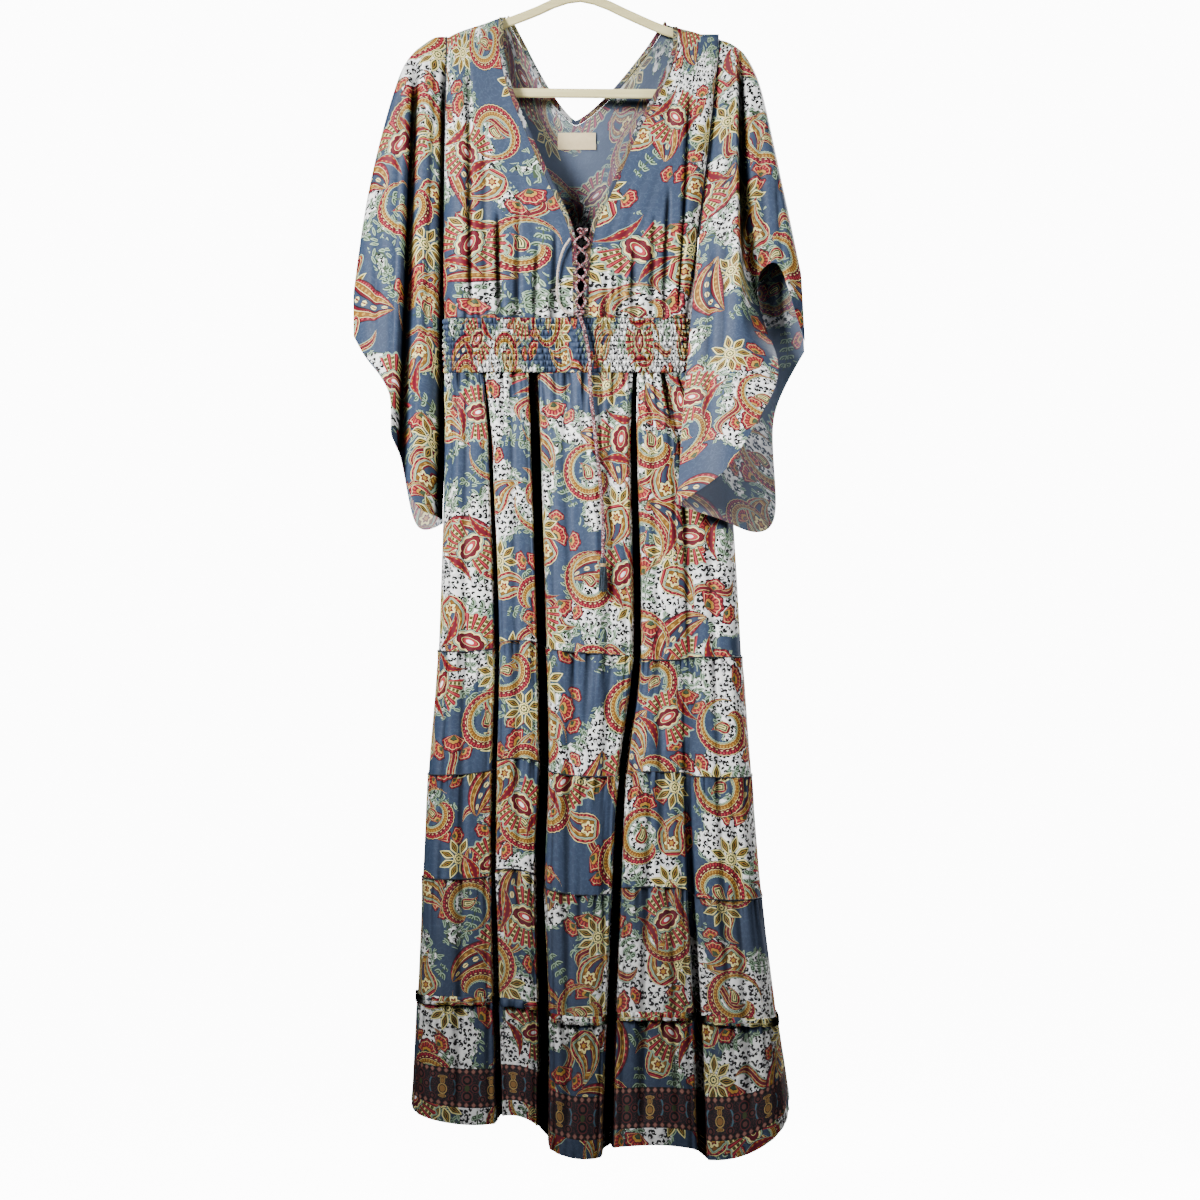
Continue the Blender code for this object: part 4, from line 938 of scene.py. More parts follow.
def front_grid(rows, side, shares, parts):
    """Outer points of one front; shares run from the side (0) to the bound neckline (1)."""
    shares, parts = np.asarray(shares, float)[None, :], np.asarray(parts, float)[:, None]
    neck_x = rows[0].edge_x + side * NECK_SET
    top = shoulder_z(rows[0].side_x + (neck_x - rows[0].side_x) * shares)
    z = top + (SMOCK_TOP + SEAM - top) * parts
    side_x = read_rows(rows, "side_x", z)
    side_y = np.maximum(read_rows(rows, "side_y", z), WALL + SEAM / 2)
    edge_x = read_rows(rows, "edge_x", z) + side * (BINDING_WIDTH + SEAM)
    full = read_rows(rows, "full", z)
    near = np.clip(shares / 0.16, 0, 1)
    out = turn_over_arm(side_y + (full - side_y) * np.sqrt(near * (2 - near)), top - z)
    gather = np.clip((shares - 0.27) / (1 - 0.27), 0, 1)
    wave = np.sin(tau * FRONT_GATHERS * gather - pi / 2) * np.minimum(1, 6 * gather * (1 - gather))
    out = out + BODICE_GATHER * wave * np.exp(-(z - SMOCK_TOP) / BODICE_FADE)
    return np.stack([side_x + (edge_x - side_x) * shares, -out, z], axis=2)


def bodice_front(side_name, rows, side, creases, start, seed):
    grid = front_grid(rows, side, np.linspace(0, 1, 104), fine_parts(104))[:, ::-side]
    out = surface_normals(grid, 1)
    grid = gathered_edge(press(grid, out, creases), out, 0.032, seed)
    # Painted shade in the front's creases and gathers.
    sunk = np.maximum(hollows(grid, 1, 6, 0.0017), hollows(grid, 1, 3, 0.0007))
    front = cloth_piece(f"cloth_front_{side_name}", grid, 1, start, hollow=sunk)
    line = front_grid(rows, side, [1.0], fine_parts(90, 1.1))[:, 0]
    line[:, 1] = np.minimum(line[:, 1] + WALL / 2, -BINDING_DEPTH / 2 - SEAM / 2)
    line[:, 0] -= side * SEAM
    binding = bound_edge(f"neck_binding_front_{side_name}", line, np.array([-side, 0.0, 0.0]))
    fit(front, f"bodice_front_{side_name}")
    fit(binding, f"neck_binding_{side_name}")
    cut_size(grid)


bodice_front("left", BODICE_LEFT, -1, FRONT_CREASES_LEFT, (0.07, 0.93), 31)
bodice_front("right", BODICE_RIGHT, 1, FRONT_CREASES_RIGHT, (0.36, 0.71), 32)

# ---- sleeves ----
# Each sleeve is one wide piece that folds over the arm of the hanger and is sewn to the bodice down to the
# underarm. Its deep fold and its turned hem hang freely, and the wrong side shows inside.
# Painted shade darkens each sleeve's deep fold and its hollows, and the left sleeve's inner edge beside the
# bodice.
Line = namedtuple(
    "Line", "top_x top_z hem_x hem_z flare front_mid front_hem back_x back_z back_mid back_hem")
SLEEVE_LEFT = (
    Line(-0.1748, -0.1310, -0.1820, -0.7657, 1.0, -0.012, -0.002, -0.1820, -0.7710, 0.012, 0.002),
    Line(-0.1840, -0.1300, -0.1937, -0.7580, 1.0, -0.028, -0.034, -0.1950, -0.7790, 0.020, 0.016),
    Line(-0.1930, -0.1320, -0.2080, -0.7560, 1.0, -0.035, -0.044, -0.2150, -0.7810, 0.024, 0.022),
    Line(-0.2075, -0.1428, -0.2250, -0.7306, 1.0, -0.038, -0.046, -0.2250, -0.7450, 0.026, 0.024),
    Line(-0.2138, -0.1470, -0.2327, -0.6825, 1.0, -0.004, -0.006, -0.2340, -0.6890, 0.028, 0.026),
    Line(-0.2200, -0.1536, -0.2410, -0.6640, 1.0, -0.030, -0.038, -0.2410, -0.6700, 0.028, 0.026),
    Line(-0.2310, -0.1670, -0.2480, -0.6552, 1.0, -0.032, -0.042, -0.2480, -0.6600, 0.026, 0.028),
    Line(-0.2420, -0.1960, -0.2440, -0.6050, 1.0, -0.030, -0.038, -0.2450, -0.6080, 0.024, 0.026),
    Line(-0.2580, -0.2500, -0.2630, -0.5700, 1.0, -0.028, -0.032, -0.2630, -0.5740, 0.022, 0.022),
    Line(-0.2815, -0.3480, -0.2834, -0.5500, 1.0, -0.022, -0.024, -0.2834, -0.5530, 0.018, 0.018),
    Line(-0.2965, -0.4650, -0.2960, -0.5265, 1.0, -0.009, -0.009, -0.2960, -0.5265, 0.009, 0.009),
)
SLEEVE_RIGHT = (
    Line(0.1824, -0.1350, 0.1250, -0.7475, 0.72, -0.012, -0.0885, 0.1250, -0.7475, 0.012, -0.0840),
    Line(0.1900, -0.1365, 0.1625, -0.7240, 1.5, -0.030, -0.112, 0.1560, -0.7590, 0.018, -0.076),
    Line(0.1960, -0.1390, 0.1935, -0.7020, 2.5, -0.034, -0.116, 0.1820, -0.7657, 0.022, -0.068),
    Line(0.2010, -0.1420, 0.2300, -0.6370, 5.0, -0.036, -0.100, 0.2106, -0.7800, 0.024, -0.045),
    Line(0.2055, -0.1450, 0.2685, -0.5745, 9.0, -0.038, -0.075, 0.2360, -0.7860, 0.026, -0.020),
    Line(0.2090, -0.1480, 0.2380, -0.5100, 9.0, -0.006, -0.004, 0.2590, -0.7700, 0.028, 0.004),
    Line(0.2150, -0.1520, 0.2260, -0.4550, 1.0, -0.024, -0.026, 0.2540, -0.7020, 0.028, 0.012),
    Line(0.2350, -0.1850, 0.2420, -0.4316, 1.0, -0.026, -0.028, 0.2505, -0.6435, 0.026, 0.018),
    Line(0.2485, -0.2500, 0.2620, -0.4277, 1.0, -0.026, -0.028, 0.2600, -0.6084, 0.024, 0.020),
    Line(0.2670, -0.3340, 0.2760, -0.4810, 1.0, -0.022, -0.026, 0.2800, -0.5700, 0.020, 0.018),
    Line(0.2890, -0.4400, 0.2940, -0.5330, 1.0, -0.009, -0.010, 0.2940, -0.5460, 0.009, 0.010),
)
ARMHOLE_GAP = 0.0007
RIDGE_DROP = 0.008
RIDGE_HALF = 0.0075
UNDERARM = 0.44
UNDERARM_Z = -0.400
TUCK_FADE = 0.8              # lines over which the tuck of the inner edge fades out
FOLD_HALF = 0.74             # half the width of the painted shade inside a deep fold, in lines
FOLD_END = 5.4               # row of the net, counted from the front hem, above which that painted shade has faded out
SLEEVE_CREASES_LEFT = millimetres(
    Crease,
    (-234, -190, -246, -630, 5, 3.5),
    (-186, -150, -201, -560, 4.5, 3),
    (-260, -300, -270, -540, 5, 3),
    (-216, -420, -220, -720, 4, 2.5),
)
SLEEVE_CREASES_RIGHT = millimetres(
    Crease,
    (226, -180, 248, -520, 5, 3.5),
    (195, -160, 180, -600, 4.5, 3),
    (256, -300, 272, -540, 5, 3.2),
    (170, -400, 156, -690, 5, 3.5),
)


def spline_weights(count, where):
    """Weights of `count` control points of a uniform cubic B-spline that passes through its two ends."""
    where = np.clip(np.asarray(where, float), 0.0, count - 1.0)
    first = np.minimum(where.astype(int), count - 2)
    part = where - first
    basis = np.stack([
        (1 - part) ** 3,
        3 * part ** 3 - 6 * part ** 2 + 4,
        -3 * part ** 3 + 3 * part ** 2 + 3 * part + 1,
        part ** 3,
    ], axis=1) / 6.0
    weights = np.zeros((len(where), count + 2))
    rows = np.arange(len(where))
    for step in range(4):
        weights[rows, first + step] += basis[:, step]
    inner = weights[:, 1:-1].copy()
    inner[:, 0] += 2 * weights[:, 0]
    inner[:, 1] -= weights[:, 0]
    inner[:, -1] += 2 * weights[:, -1]
    inner[:, -2] -= weights[:, -1]
    return inner


def even_places(points, where, count):
    """Places spread evenly along the line that runs through `points` at the places `where`."""
    length = run_length(points)
    return np.interp(np.linspace(0, length[-1], count), length, where)


def sleeve_point(line, share, layer, side_rows=None, side_sign=0):
    """Control point on one line, share of the way from the ridge to the hem of the front or back layer."""
    front = layer == "front"
    hem_x, hem_z = (line.hem_x, line.hem_z) if front else (line.back_x, line.back_z)
    mid_y, hem_y = (line.front_mid, line.front_hem) if front else (line.back_mid, line.back_hem)
    flare = line.flare if front else min(line.flare, 1.0)
    z = line.top_z + (hem_z - line.top_z) * share
    x = line.top_x + (hem_x - line.top_x) * share ** flare
    if side_rows is not None:
        sewn = read_rows(side_rows, "side_x", z) + side_sign * ARMHOLE_GAP
        x = sewn + (x - sewn) * smooth_step((share - UNDERARM) / 0.12)
    rounded = np.clip(share / 0.3, 0, 1)
    lean = np.clip((share - UNDERARM) / (1 - UNDERARM), 0, 1) ** 0.65
    out = max(abs(mid_y) * np.sqrt(rounded * (2 - rounded)), RIDGE_HALF)
    y = np.copysign(out, mid_y) + (hem_y - mid_y) * lean
    return (x, y, z)


def sleeve_net(lines, side_rows, side_sign):
    """Rows of control points from the front hem over the ridge to the back hem."""
    steps = (1, 0.88, 0.75, 0.48, 0.22, 0.04, 0.0)
    net = []
    for layer, order in (("front", steps), ("ridge", (0,)), ("back", steps[::-1])):
        for step in order:
            row = []
            for index, line in enumerate(lines):
                if layer == "ridge":
                    row.append((line.top_x, 0.0, line.top_z))
                    continue
                hem_z = line.hem_z if layer == "front" else line.back_z
                turn = RIDGE_DROP / (line.top_z - hem_z)
                share = turn + (1 - turn) * step
                sides = (side_rows, side_sign) if index == 0 else (None, 0)
                row.append(sleeve_point(line, share, layer, *sides))
            net.append(row)
    return np.array(net)


def sleeve_surface(net, down, across):
    rows = spline_weights(net.shape[0], down)
    columns = spline_weights(net.shape[1], across)
    return np.einsum("ri,cj,ijk->rck", rows, columns, net)


def hanging_map(grid):
    """Map of cloth that hangs nearly flat: across and down, with the depth of its folds added to the drop."""
    return np.stack([grid[:, :, 0], grid[:, :, 2] + 0.9 * grid[:, :, 1]], axis=2)


def sleeve(side_name, lines, side_rows, side, creases, start, folds, lift=-1.0, tuck=0.0):
    net = sleeve_net(lines, side_rows, side)
    down = np.linspace(0, net.shape[0] - 1, 400)
    across = np.linspace(0, net.shape[1] - 1, 300)
    down = even_places(sleeve_surface(net, down, [4.0])[:, 0], down, 200)
    across = even_places(sleeve_surface(net, [3.0], across)[0], across, 96)
    grid = sleeve_surface(net, down, across)
    grid = press(grid, surface_normals(grid, -side), creases, fade=0.05)
    low = smooth_step((UNDERARM_Z - grid[:, :, 2]) / 0.05)
    low *= 1 - 0.35 * smooth_step((-0.68 - grid[:, :, 2]) / 0.08)
    grid[:, :, 0] -= side * tuck * low * np.exp(-across / TUCK_FADE)
    # Painted shade: near black inside the deep folds of the front layer, and darker in the sleeve's hollows.
    in_front = smooth_step((FOLD_END - down) / 0.8) * smooth_step((down - lift) / 0.9)
    inside = np.max([np.exp(-(np.abs(across - fold) / FOLD_HALF) ** 8) for fold in folds], axis=0)
    sunk = np.maximum(hollows(grid, -side, 7, 0.006), 0.7 * hollows(grid, -side, 3, 0.0016))
    piece = cloth_piece(f"cloth_sleeve_{side_name}", grid, -side, start,
                        hollow=np.maximum(0.85 * sunk, in_front[:, None] * inside), places=hanging_map(grid))
    fit(piece, f"sleeve_{side_name}")
    cut_size(grid)
    return grid[:, 0]


# On the left, painted shade runs down the inner edge (line 0) beside the bodice and in the deep fold (line
# 4).
armhole_left = sleeve("left", SLEEVE_LEFT, BODICE_LEFT, -1, SLEEVE_CREASES_LEFT, (1.23, 0.97), folds=(0, 4),
                      tuck=0.0036)
armhole_right = sleeve("right", SLEEVE_RIGHT, BODICE_RIGHT, 1, SLEEVE_CREASES_RIGHT, (-0.20, 0.61),
                       folds=(5,), lift=1.5)

# ---- smocked waistband ----
# Two bands of crepe drawn in by nine rows of elastic thread, which puff it into small cells. In front, a
# strip beside the lacing is left unsmocked and only puckers.
SMOCK_BOTTOM = -0.5752
SMOCK_ROWS = 9
SMOCK_RELIEF = 0.0034
WAIST_DEPTH = 0.041
WAIST_LEFT = (-0.178, -0.177)
WAIST_RIGHT = (0.1445, 0.1435)
SLIT_LEFT = -0.024
SLIT_RIGHT = -0.003
SMOCK_WAVE = 0.0052          # length of one small gather


def waist_section(columns, left, right):
    """Plan of one half at the waist: rounded at both sides, flat between them."""
    full = WAIST_DEPTH
    stations = np.array([
        (left, SEAM / 2), (left, 0.5 * full), (left + 0.008, 0.92 * full),
        *[(left + (right - left) * share, full) for share in (0.2, 0.4, 0.6, 0.8)],
        (right - 0.008, 0.92 * full), (right, 0.5 * full), (right, SEAM / 2),
    ])
    places = np.linspace(0, len(stations) - 1, 600)
    even = even_places(spline_weights(len(stations), places) @ stations, places, columns)
    return spline_weights(len(stations), even) @ stations


def smocked_band(side, outward, columns, start, seed):
    """One half of the waistband; outward is -1 in front and 1 behind."""
    shares = np.linspace(0, 1, 8 * SMOCK_ROWS + 1)
    plan = []
    for share in shares:
        left, right = (top + (bottom - top) * share for top, bottom in (WAIST_LEFT, WAIST_RIGHT))
        plan.append(waist_section(columns, left, right))
    plan = np.array(plan)
    z = np.broadcast_to((SMOCK_TOP + (SMOCK_BOTTOM - SMOCK_TOP) * shares)[:, None], plan.shape[:2])
    grid = np.stack([plan[:, :, 0], outward * plan[:, :, 1], z], axis=2)
    out = surface_normals(grid, -outward)
    length = run_length(grid[0])
    chance = np.random.default_rng(seed)
    row = shares * SMOCK_ROWS
    puff = np.abs(np.sin(pi * row)) ** 0.65
    gathers = int(length[-1] / SMOCK_WAVE)
    common = chance.uniform(0.55, 1.55, gathers)
    cells, strength = [], []
    for _ in range(SMOCK_ROWS):
        widths = common * chance.uniform(0.70, 1.35, gathers)
        knots = np.concatenate([[0], np.cumsum(widths)]) * length[-1] / widths.sum()
        cells.append(0.5 - 0.5 * np.cos(tau * np.interp(length, knots, np.arange(gathers + 1))))
        strength.append(np.interp(length, knots, chance.uniform(0.45, 1.0, gathers + 1)))
    in_row = np.minimum(row.astype(int), SMOCK_ROWS - 1)
    cells, strength = np.array(cells)[in_row], np.array(strength)[in_row]
    relief = SMOCK_RELIEF * (puff[:, None] * (0.16 + 0.84 * cells ** 0.7 * strength) + 0.12 * cells)
    # Painted shade in the narrow gaps between gathers and along the sunk elastic rows; the strip beside the
    # lacing gets less.
    sunk = smooth_step((0.46 - cells) / 0.36) * (0.30 + 0.70 * puff[:, None]) * (1.55 - strength)
    sunk = np.clip(np.maximum(sunk, 0.55 * smooth_step((0.30 - puff) / 0.30)[:, None]), 0, 1)
    if outward < 0:
        x = grid[:, :, 0]
        strip = smooth_step((x - SLIT_LEFT) / 0.002) * smooth_step((SLIT_RIGHT - x) / 0.002)
        pucker = 0.0009 + 0.0007 * np.sin(z * 900 + x * 240) + 0.0005 * np.sin(z * 410 - x * 500)
        relief = relief * (1 - strip) + pucker * strip
        sunk = sunk * (1 - 0.75 * strip)
    relief = relief * smooth_step(np.minimum(length, length[-1] - length) / 0.012)
    grid = grid + out * relief[:, :, None]
    band = cloth_piece(f"cloth_waistband_{side}", grid, -outward, start, hollow=sunk, fullness=1.7)
    fit(band, f"waistband_{side}")
    cut_size(grid)


smocked_band("front", -1, 330, (0.55, 0.27), 5)
smocked_band("back", 1, 200, (1.12, 0.66), 8)

# ---- skirt: five tiers ----
# Each tier is two panels of crepe, front and back, gathered along its top into the one above. Deep folds run
# through all five, and small crinkles fan out below each seam. The hem tier carries a border print.
# The deep folds, crinkles and hollows of every tier carry painted shade, and the two lowest tiers a grey veil
# of painted shade.
LEVEL_Z = np.array([-0.5755, -0.660, -0.940, -1.096, -1.2415, -1.403, -1.577])
SIDE_LEFT = np.array([-0.177, -0.177, -0.185, -0.198, -0.205, -0.212, -0.220])
SIDE_RIGHT = np.array([0.1425, 0.190, 0.211, 0.224, 0.237, 0.257, 0.273])
SEAM_LEVELS = (2, 3, 4, 5, 6)
PANEL_STEP = 7               # control points from one panel to the next
# A deep fold: its middle at each level, its mouth and floor at waist and hem, and how much of its painted
# shade is left lower down.
Fold = namedtuple("Fold", "x mouth_waist mouth_hem floor_waist floor_hem dark_low")
FRONT_FOLDS = (
    Fold((-0.125, -0.117, -0.108, -0.111, -0.112, -0.108, -0.104), 0.004, 0.005, 0.029, 0.014, 1.0),
    Fold((-0.061, -0.058, -0.050, -0.047, -0.052, -0.047, -0.048), 0.011, 0.013, 0.028, 0.012, 1.0),
    Fold((0.071, 0.070, 0.074, 0.055, 0.047, 0.040, 0.035), 0.008, 0.010, 0.029, 0.014, 1.0),
    Fold((0.108, 0.124, 0.135, 0.138, 0.144, 0.152, 0.158), 0.006, 0.010, 0.030, 0.055, 0.05),
)
BACK_FOLDS = (
    Fold((-0.110, -0.108, -0.112, -0.116, -0.118, -0.120, -0.122), 0.009, 0.018, 0.027, 0.014, 0.9),
    Fold((-0.030, -0.024, -0.018, -0.014, -0.010, -0.008, -0.004), 0.011, 0.020, 0.027, 0.012, 0.9),
    Fold((0.048, 0.060, 0.072, 0.078, 0.082, 0.090, 0.098), 0.009, 0.018, 0.028, 0.014, 0.9),
)
Panel = namedtuple("Panel", "waist hip hem gathers puckers rise")
FRONT_PANELS = (
    Panel(0.037, 0.046, 0.074, 3, 2, (0.002, -0.001, 0.009, 0.014, 0.029)),
    Panel(0.038, 0.045, 0.070, 3, 2, (0.017, 0.020, 0.022, 0.010, 0.038)),
    Panel(0.041, 0.054, 0.098, 6, 4, (0.000, -0.003, -0.010, -0.010, -0.013)),
    Panel(0.040, 0.049, 0.088, 3, 3, (-0.009, 0.003, 0.000, -0.005, 0.003)),
    Panel(0.037, 0.045, 0.080, 2, 2, (-0.005, -0.005, -0.018, -0.013, -0.009)),
)
BACK_PANELS = (
    Panel(0.036, 0.044, 0.072, 3, 2, (0.002, 0.000, 0.006, 0.008, 0.034)),
    Panel(0.039, 0.050, 0.086, 5, 3, (0.000, 0.002, 0.000, 0.004, 0.022)),
    Panel(0.039, 0.050, 0.088, 4, 3, (0.002, -0.003, -0.002, -0.004, 0.010)),
    Panel(0.036, 0.044, 0.074, 3, 2, (0.000, 0.002, -0.006, -0.006, 0.004)),
)
SIDE_RISE_LEFT = (0.003, -0.002, 0.010, 0.016, 0.056)
SIDE_RISE_RIGHT = (-0.006, -0.004, -0.014, -0.016, 0.066)
GATHER_DEPTH = 0.0036
GATHER_FADE = 0.075
PUCKER_DEPTH = 0.0026
PUCKER_FADE = 0.040
HALVES = (("front", FRONT_FOLDS, FRONT_PANELS, -1), ("back", BACK_FOLDS, BACK_PANELS, 1))
SKIRT_CREASES = {
    "front": millimetres(
        Crease,
        (-148, -580, -160, -1560, 6, 4),
        (-166, -600, -186, -1300, 5, 3),
        (-90, -580, -80, -1230, 5.5, 3.6),
        (-25, -580, -6, -1100, 6, 4),
        (8, -580, 28, -920, 6, -3),
        (39, -590, 30, -1300, 6, 4.2),
        (-16, -1000, -20, -1590, 7, 4.5),
        (92, -590, 106, -1220, 6, 4.5),
        (88, -1100, 76, -1580, 7, 4.8),
        (118, -1240, 125, -1570, 6, 3.4),
        (162, -640, 190, -1400, 6, 4),
        (195, -1100, 220, -1560, 7, 4.2),
    ),
    "back": millimetres(
        Crease,
        (-150, -580, -166, -1540, 7, 4.4),
        (-76, -580, -70, -1200, 6, 4.4),
        (-50, -900, -48, -1560, 7, 4.2),
        (10, -580, 26, -1300, 6, 4.4),
        (48, -1000, 50, -1570, 7, 4),
        (92, -590, 126, -1300, 6, 4.4),
        (150, -900, 182, -1560, 7, 4.4),
    ),
}
# Columns and rows of each tier's fine grid, how many columns each side its painted shade in hollows reaches,
# and how far its crinkles rise below its top seam.
TIER_COLUMNS = {"front": 400, "back": 240}
HOLLOW_COLUMNS = {"front": 12, "back": 7}
TIER_ROWS = {"front": (54, 36, 34, 36, 40), "back": (36, 24, 22, 24, 26)}
TIER_CRINKLE = ((0.0019, 0.060, 0.013), (0.0017, 0.034, 0.010), (0.0017, 0.032, 0.010),
                (0.0017, 0.034, 0.011), (0.0020, 0.040, 0.012))
PRINT_STARTS = {
    "front": ((0.31, 0.17), (0.78, 0.62), (0.12, 0.95), (0.53, 0.33), (0.94, 0.81)),
    "back": ((1.71, 0.29), (1.15, 0.54), (1.42, 0.86), (1.88, 0.13), (1.27, 0.71)),
}


def skirt_stations(folds, panels, level):
    """Control points across one half at a level: x and depth."""
    stops = np.arange(len(LEVEL_Z))
    down = level / stops[-1]
    left = along(stops, SIDE_LEFT, level)
    right = along(stops, SIDE_RIGHT, level)
    open_up = smooth_step(level / 1.5)
    centres = [along(stops, fold.x, level) for fold in folds]
    mouths = [fold.mouth_waist + (fold.mouth_hem - fold.mouth_waist) * down for fold in folds]
    floors = [fold.floor_waist + (fold.floor_hem - fold.floor_waist) * open_up for fold in folds]
    stations = []
    for index, panel in enumerate(panels):
        crest = along((0, 1, stops[-1]), (panel.waist, panel.hip, panel.hem), level)
        start = left if index == 0 else centres[index - 1] + mouths[index - 1] / 2
        end = right if index == len(folds) else centres[index] - mouths[index] / 2
        if index == 0:
            stations += [(left, SEAM / 2), (left, 0.45 * crest), (left + 0.006, 0.85 * crest)]
        else:
            stations.append((start, 0.96 * crest))
        for share in (0.25, 0.5, 0.75):
            bulge = 1.0 + 0.06 * (1 - (2 * share - 1) ** 2)
            stations.append((start + (end - start) * share, crest * bulge))
        if index == len(folds):
            stations += [(right - 0.006, 0.85 * crest), (right, 0.45 * crest), (right, SEAM / 2)]
        else:
            stations.append((end, 0.96 * crest))
            half = mouths[index] / 2
            stations += [(centres[index] - half, floors[index]), (centres[index] + half, floors[index])]
    return np.array(stations)


def panel_spans(panels):
    """First and last control index of each panel's flat stretch."""
    return [(2 + PANEL_STEP * index, 6 + PANEL_STEP * index) for index in range(len(panels))]


def seam_rise(panels, where):
    """Height of the four seams and the hem above their levels, at each place across (places x 5)."""
    spans = panel_spans(panels)
    stops = [0] + [(first + last) / 2 for first, last in spans] + [spans[-1][1] + 2]
    rises = np.array([SIDE_RISE_LEFT] + [panel.rise for panel in panels] + [SIDE_RISE_RIGHT])
    return np.stack([along(stops, rises[:, seam], where) for seam in range(len(SEAM_LEVELS))], axis=1)


def gather_wave(panels, where, counts):
    """Height of the gathers across: full on the panels, none in the folds."""
    wave = np.zeros(len(where))
    for (first, last), count in zip(panel_spans(panels), counts):
        share = (where - first) / (last - first)
        inside = (share > 0) & (share < 1)
        window = np.minimum(1.0, 6 * share * (1 - share))
        wave += np.where(inside, window * np.sin(tau * count * share - pi / 2), 0.0)
    return wave


def places_across(folds, panels, level, count):
    places = np.linspace(0, PANEL_STEP * len(panels) + 1, 4000)
    stations = skirt_stations(folds, panels, level)
    return even_places(spline_weights(len(stations), places) @ stations, places, count)


def sharpen_folds(stations, where, depths, count):
    """Give each deep fold a tighter turn at its mouth and steeper walls."""
    sharper = depths.copy()
    for fold in range(count):
        first = 6 + PANEL_STEP * fold
        crest = np.interp(where, (first, first + 3), stations[[first, first + 3], 1])
        floor = stations[first + 1, 1]
        sunk = np.clip((crest - depths) / (crest - floor), 0, 1)
        near = smooth_step((where - first + 0.9) / 0.4) * smooth_step((first + 3.9 - where) / 0.4)
        sharper -= near * (crest - floor) * (smooth_step((sunk - 0.10) / 0.62) - sunk)
    return sharper


def fold_shade(folds, where, levels):
    """Painted shade inside the deep folds, from 0 to 1, at each level (rows) and place across (columns)."""
    shade = np.zeros((len(levels), len(where)))
    down = np.clip(np.asarray(levels) / 2.5, 0, 1)[:, None]
    for index, fold in enumerate(folds):
        first = 6 + PANEL_STEP * index
        margin = 0.10 + (0.011 - fold.mouth_waist) * 60 + 0.50 * np.asarray(levels)[:, None] / 6
        inside = smooth_step((where - first - margin) / 0.45)
        inside = inside * smooth_step((first + 3 - margin - where) / 0.45)
        shade = np.maximum(shade, inside * (1 + (fold.dark_low - 1) * down))
    return shade


def skirt_grid(folds, panels, where, top, bottom, shares, outward):
    """Outer points of one tier half between two levels."""
    waist = top == 0
    counts = [panel.gathers if waist else panel.puckers for panel in panels]
    depth, fade = (GATHER_DEPTH, GATHER_FADE) if waist else (PUCKER_DEPTH, PUCKER_FADE)
    wave = gather_wave(panels, where, counts)
    rise = seam_rise(panels, where)
    rise_top = np.zeros(len(where)) if waist else rise[:, SEAM_LEVELS.index(top)]
    rise_bottom = rise[:, SEAM_LEVELS.index(bottom)]
    grid = []
    for share in shares:
        level = top + (bottom - top) * share
        stations = skirt_stations(folds, panels, level)
        flat = spline_weights(len(stations), where) @ stations
        high = LEVEL_Z[top] - SEAM / 2 + rise_top
        low = LEVEL_Z[bottom] + SEAM / 2 + rise_bottom
        if waist and share <= 0.5:
            z = high + (LEVEL_Z[1] - high) * share / 0.5
        elif waist:
            z = LEVEL_Z[1] + (low - LEVEL_Z[1]) * (share - 0.5) / 0.5
        else:
            z = high + (low - high) * share
        fallen = (LEVEL_Z[top] - LEVEL_Z[bottom]) * share
        relief = depth * wave * np.exp(-fallen / fade)
        depths = sharpen_folds(stations, where, flat[:, 1], len(folds)) + relief
        grid.append(np.stack([flat[:, 0], outward * depths, z + 0 * flat[:, 0]], axis=1))
    return np.array(grid)


def tier_crinkles(grid, out, reach, fade, wave, seed):
    """Small folds that fan out below the tier's own top seam, and slighter ones above the next seam."""
    across = run_length(grid)
    below = np.linalg.norm(grid - grid[:1], axis=2)
    above = np.linalg.norm(grid - grid[-1:], axis=2)
    small = crinkle(across, below, seed, wave)
    large = crinkle(across, below * 0.6, seed + 40, wave * 3.1)
    moved = reach * (small * np.exp(-below / fade) + 0.55 * large * np.exp(-below / (2.6 * fade)))
    moved += 0.35 * reach * crinkle(across, above, seed + 80, wave * 1.4) * np.exp(-above / 0.016)
    moved += 0.22 * reach * crinkle(across, below * 0.4, seed + 120, wave * 2.2)
    return grid + out * (moved * away_from_ends(across, 0.012))[:, :, None]


def tier(index, side, folds, panels, outward):
    levels = (0, *SEAM_LEVELS)
    top, bottom = levels[index], levels[index + 1]
    where = places_across(folds, panels, (top + bottom) / 2, TIER_COLUMNS[side])
    shares = np.linspace(0, 1, TIER_ROWS[side][index]) ** 1.25
    grid = skirt_grid(folds, panels, where, top, bottom, shares, outward)
    out = surface_normals(grid, -outward)
    grid = press(grid, out, SKIRT_CREASES[side], fade=0.06)
    grid = tier_crinkles(grid, out, *TIER_CRINKLE[index], seed=10 * index + (1 if side == "front" else 6))
    drop = None
    if TIER_SIDES[index] is BORDER_SIDE:
        drop = cloth_map(grid)
        drop[:, :, 1] -= drop[-1, :, 1]
    # Painted shade in the tier's hollows, small crinkles and deep folds.
    sunk = np.max([
        0.85 * hollows(grid, -outward, HOLLOW_COLUMNS[side], 0.0070),
        0.90 * hollows(grid, -outward, 3, 0.0010),
        fold_shade(folds, where, top + (bottom - top) * shares),
    ], axis=0)
    piece = cloth_piece(f"cloth_tier_{index + 1}_{side}", grid, -outward, PRINT_STARTS[side][index],
                        (TIER_SIDES[index], WRONG_SIDE), drop, hollow=sunk)
    fit(piece, f"tier_{index + 1}_{side}")
    return piece, grid


def oval(x, y, wide, high):
    """Depth into an oval, 1 at its middle and 0 at its edge."""
    return 1.0 - ((x * (1 / wide)) ** 2.0 + (y * (1 / high)) ** 2.0)


BORDER_UNIT = 0.066          # one urn and its scrolls
BORDER_MIDDLE = 0.047        # above the hem
BORDER_HALF = 0.0215
BORDER_RINGS = ((0.0, 0.0105, 0.0074), (0.0, -0.0105, 0.0074), (0.0105, 0.0, 0.0054), (0.020, 0.0145, 0.0050),
                (0.020, -0.0145, 0.0050))


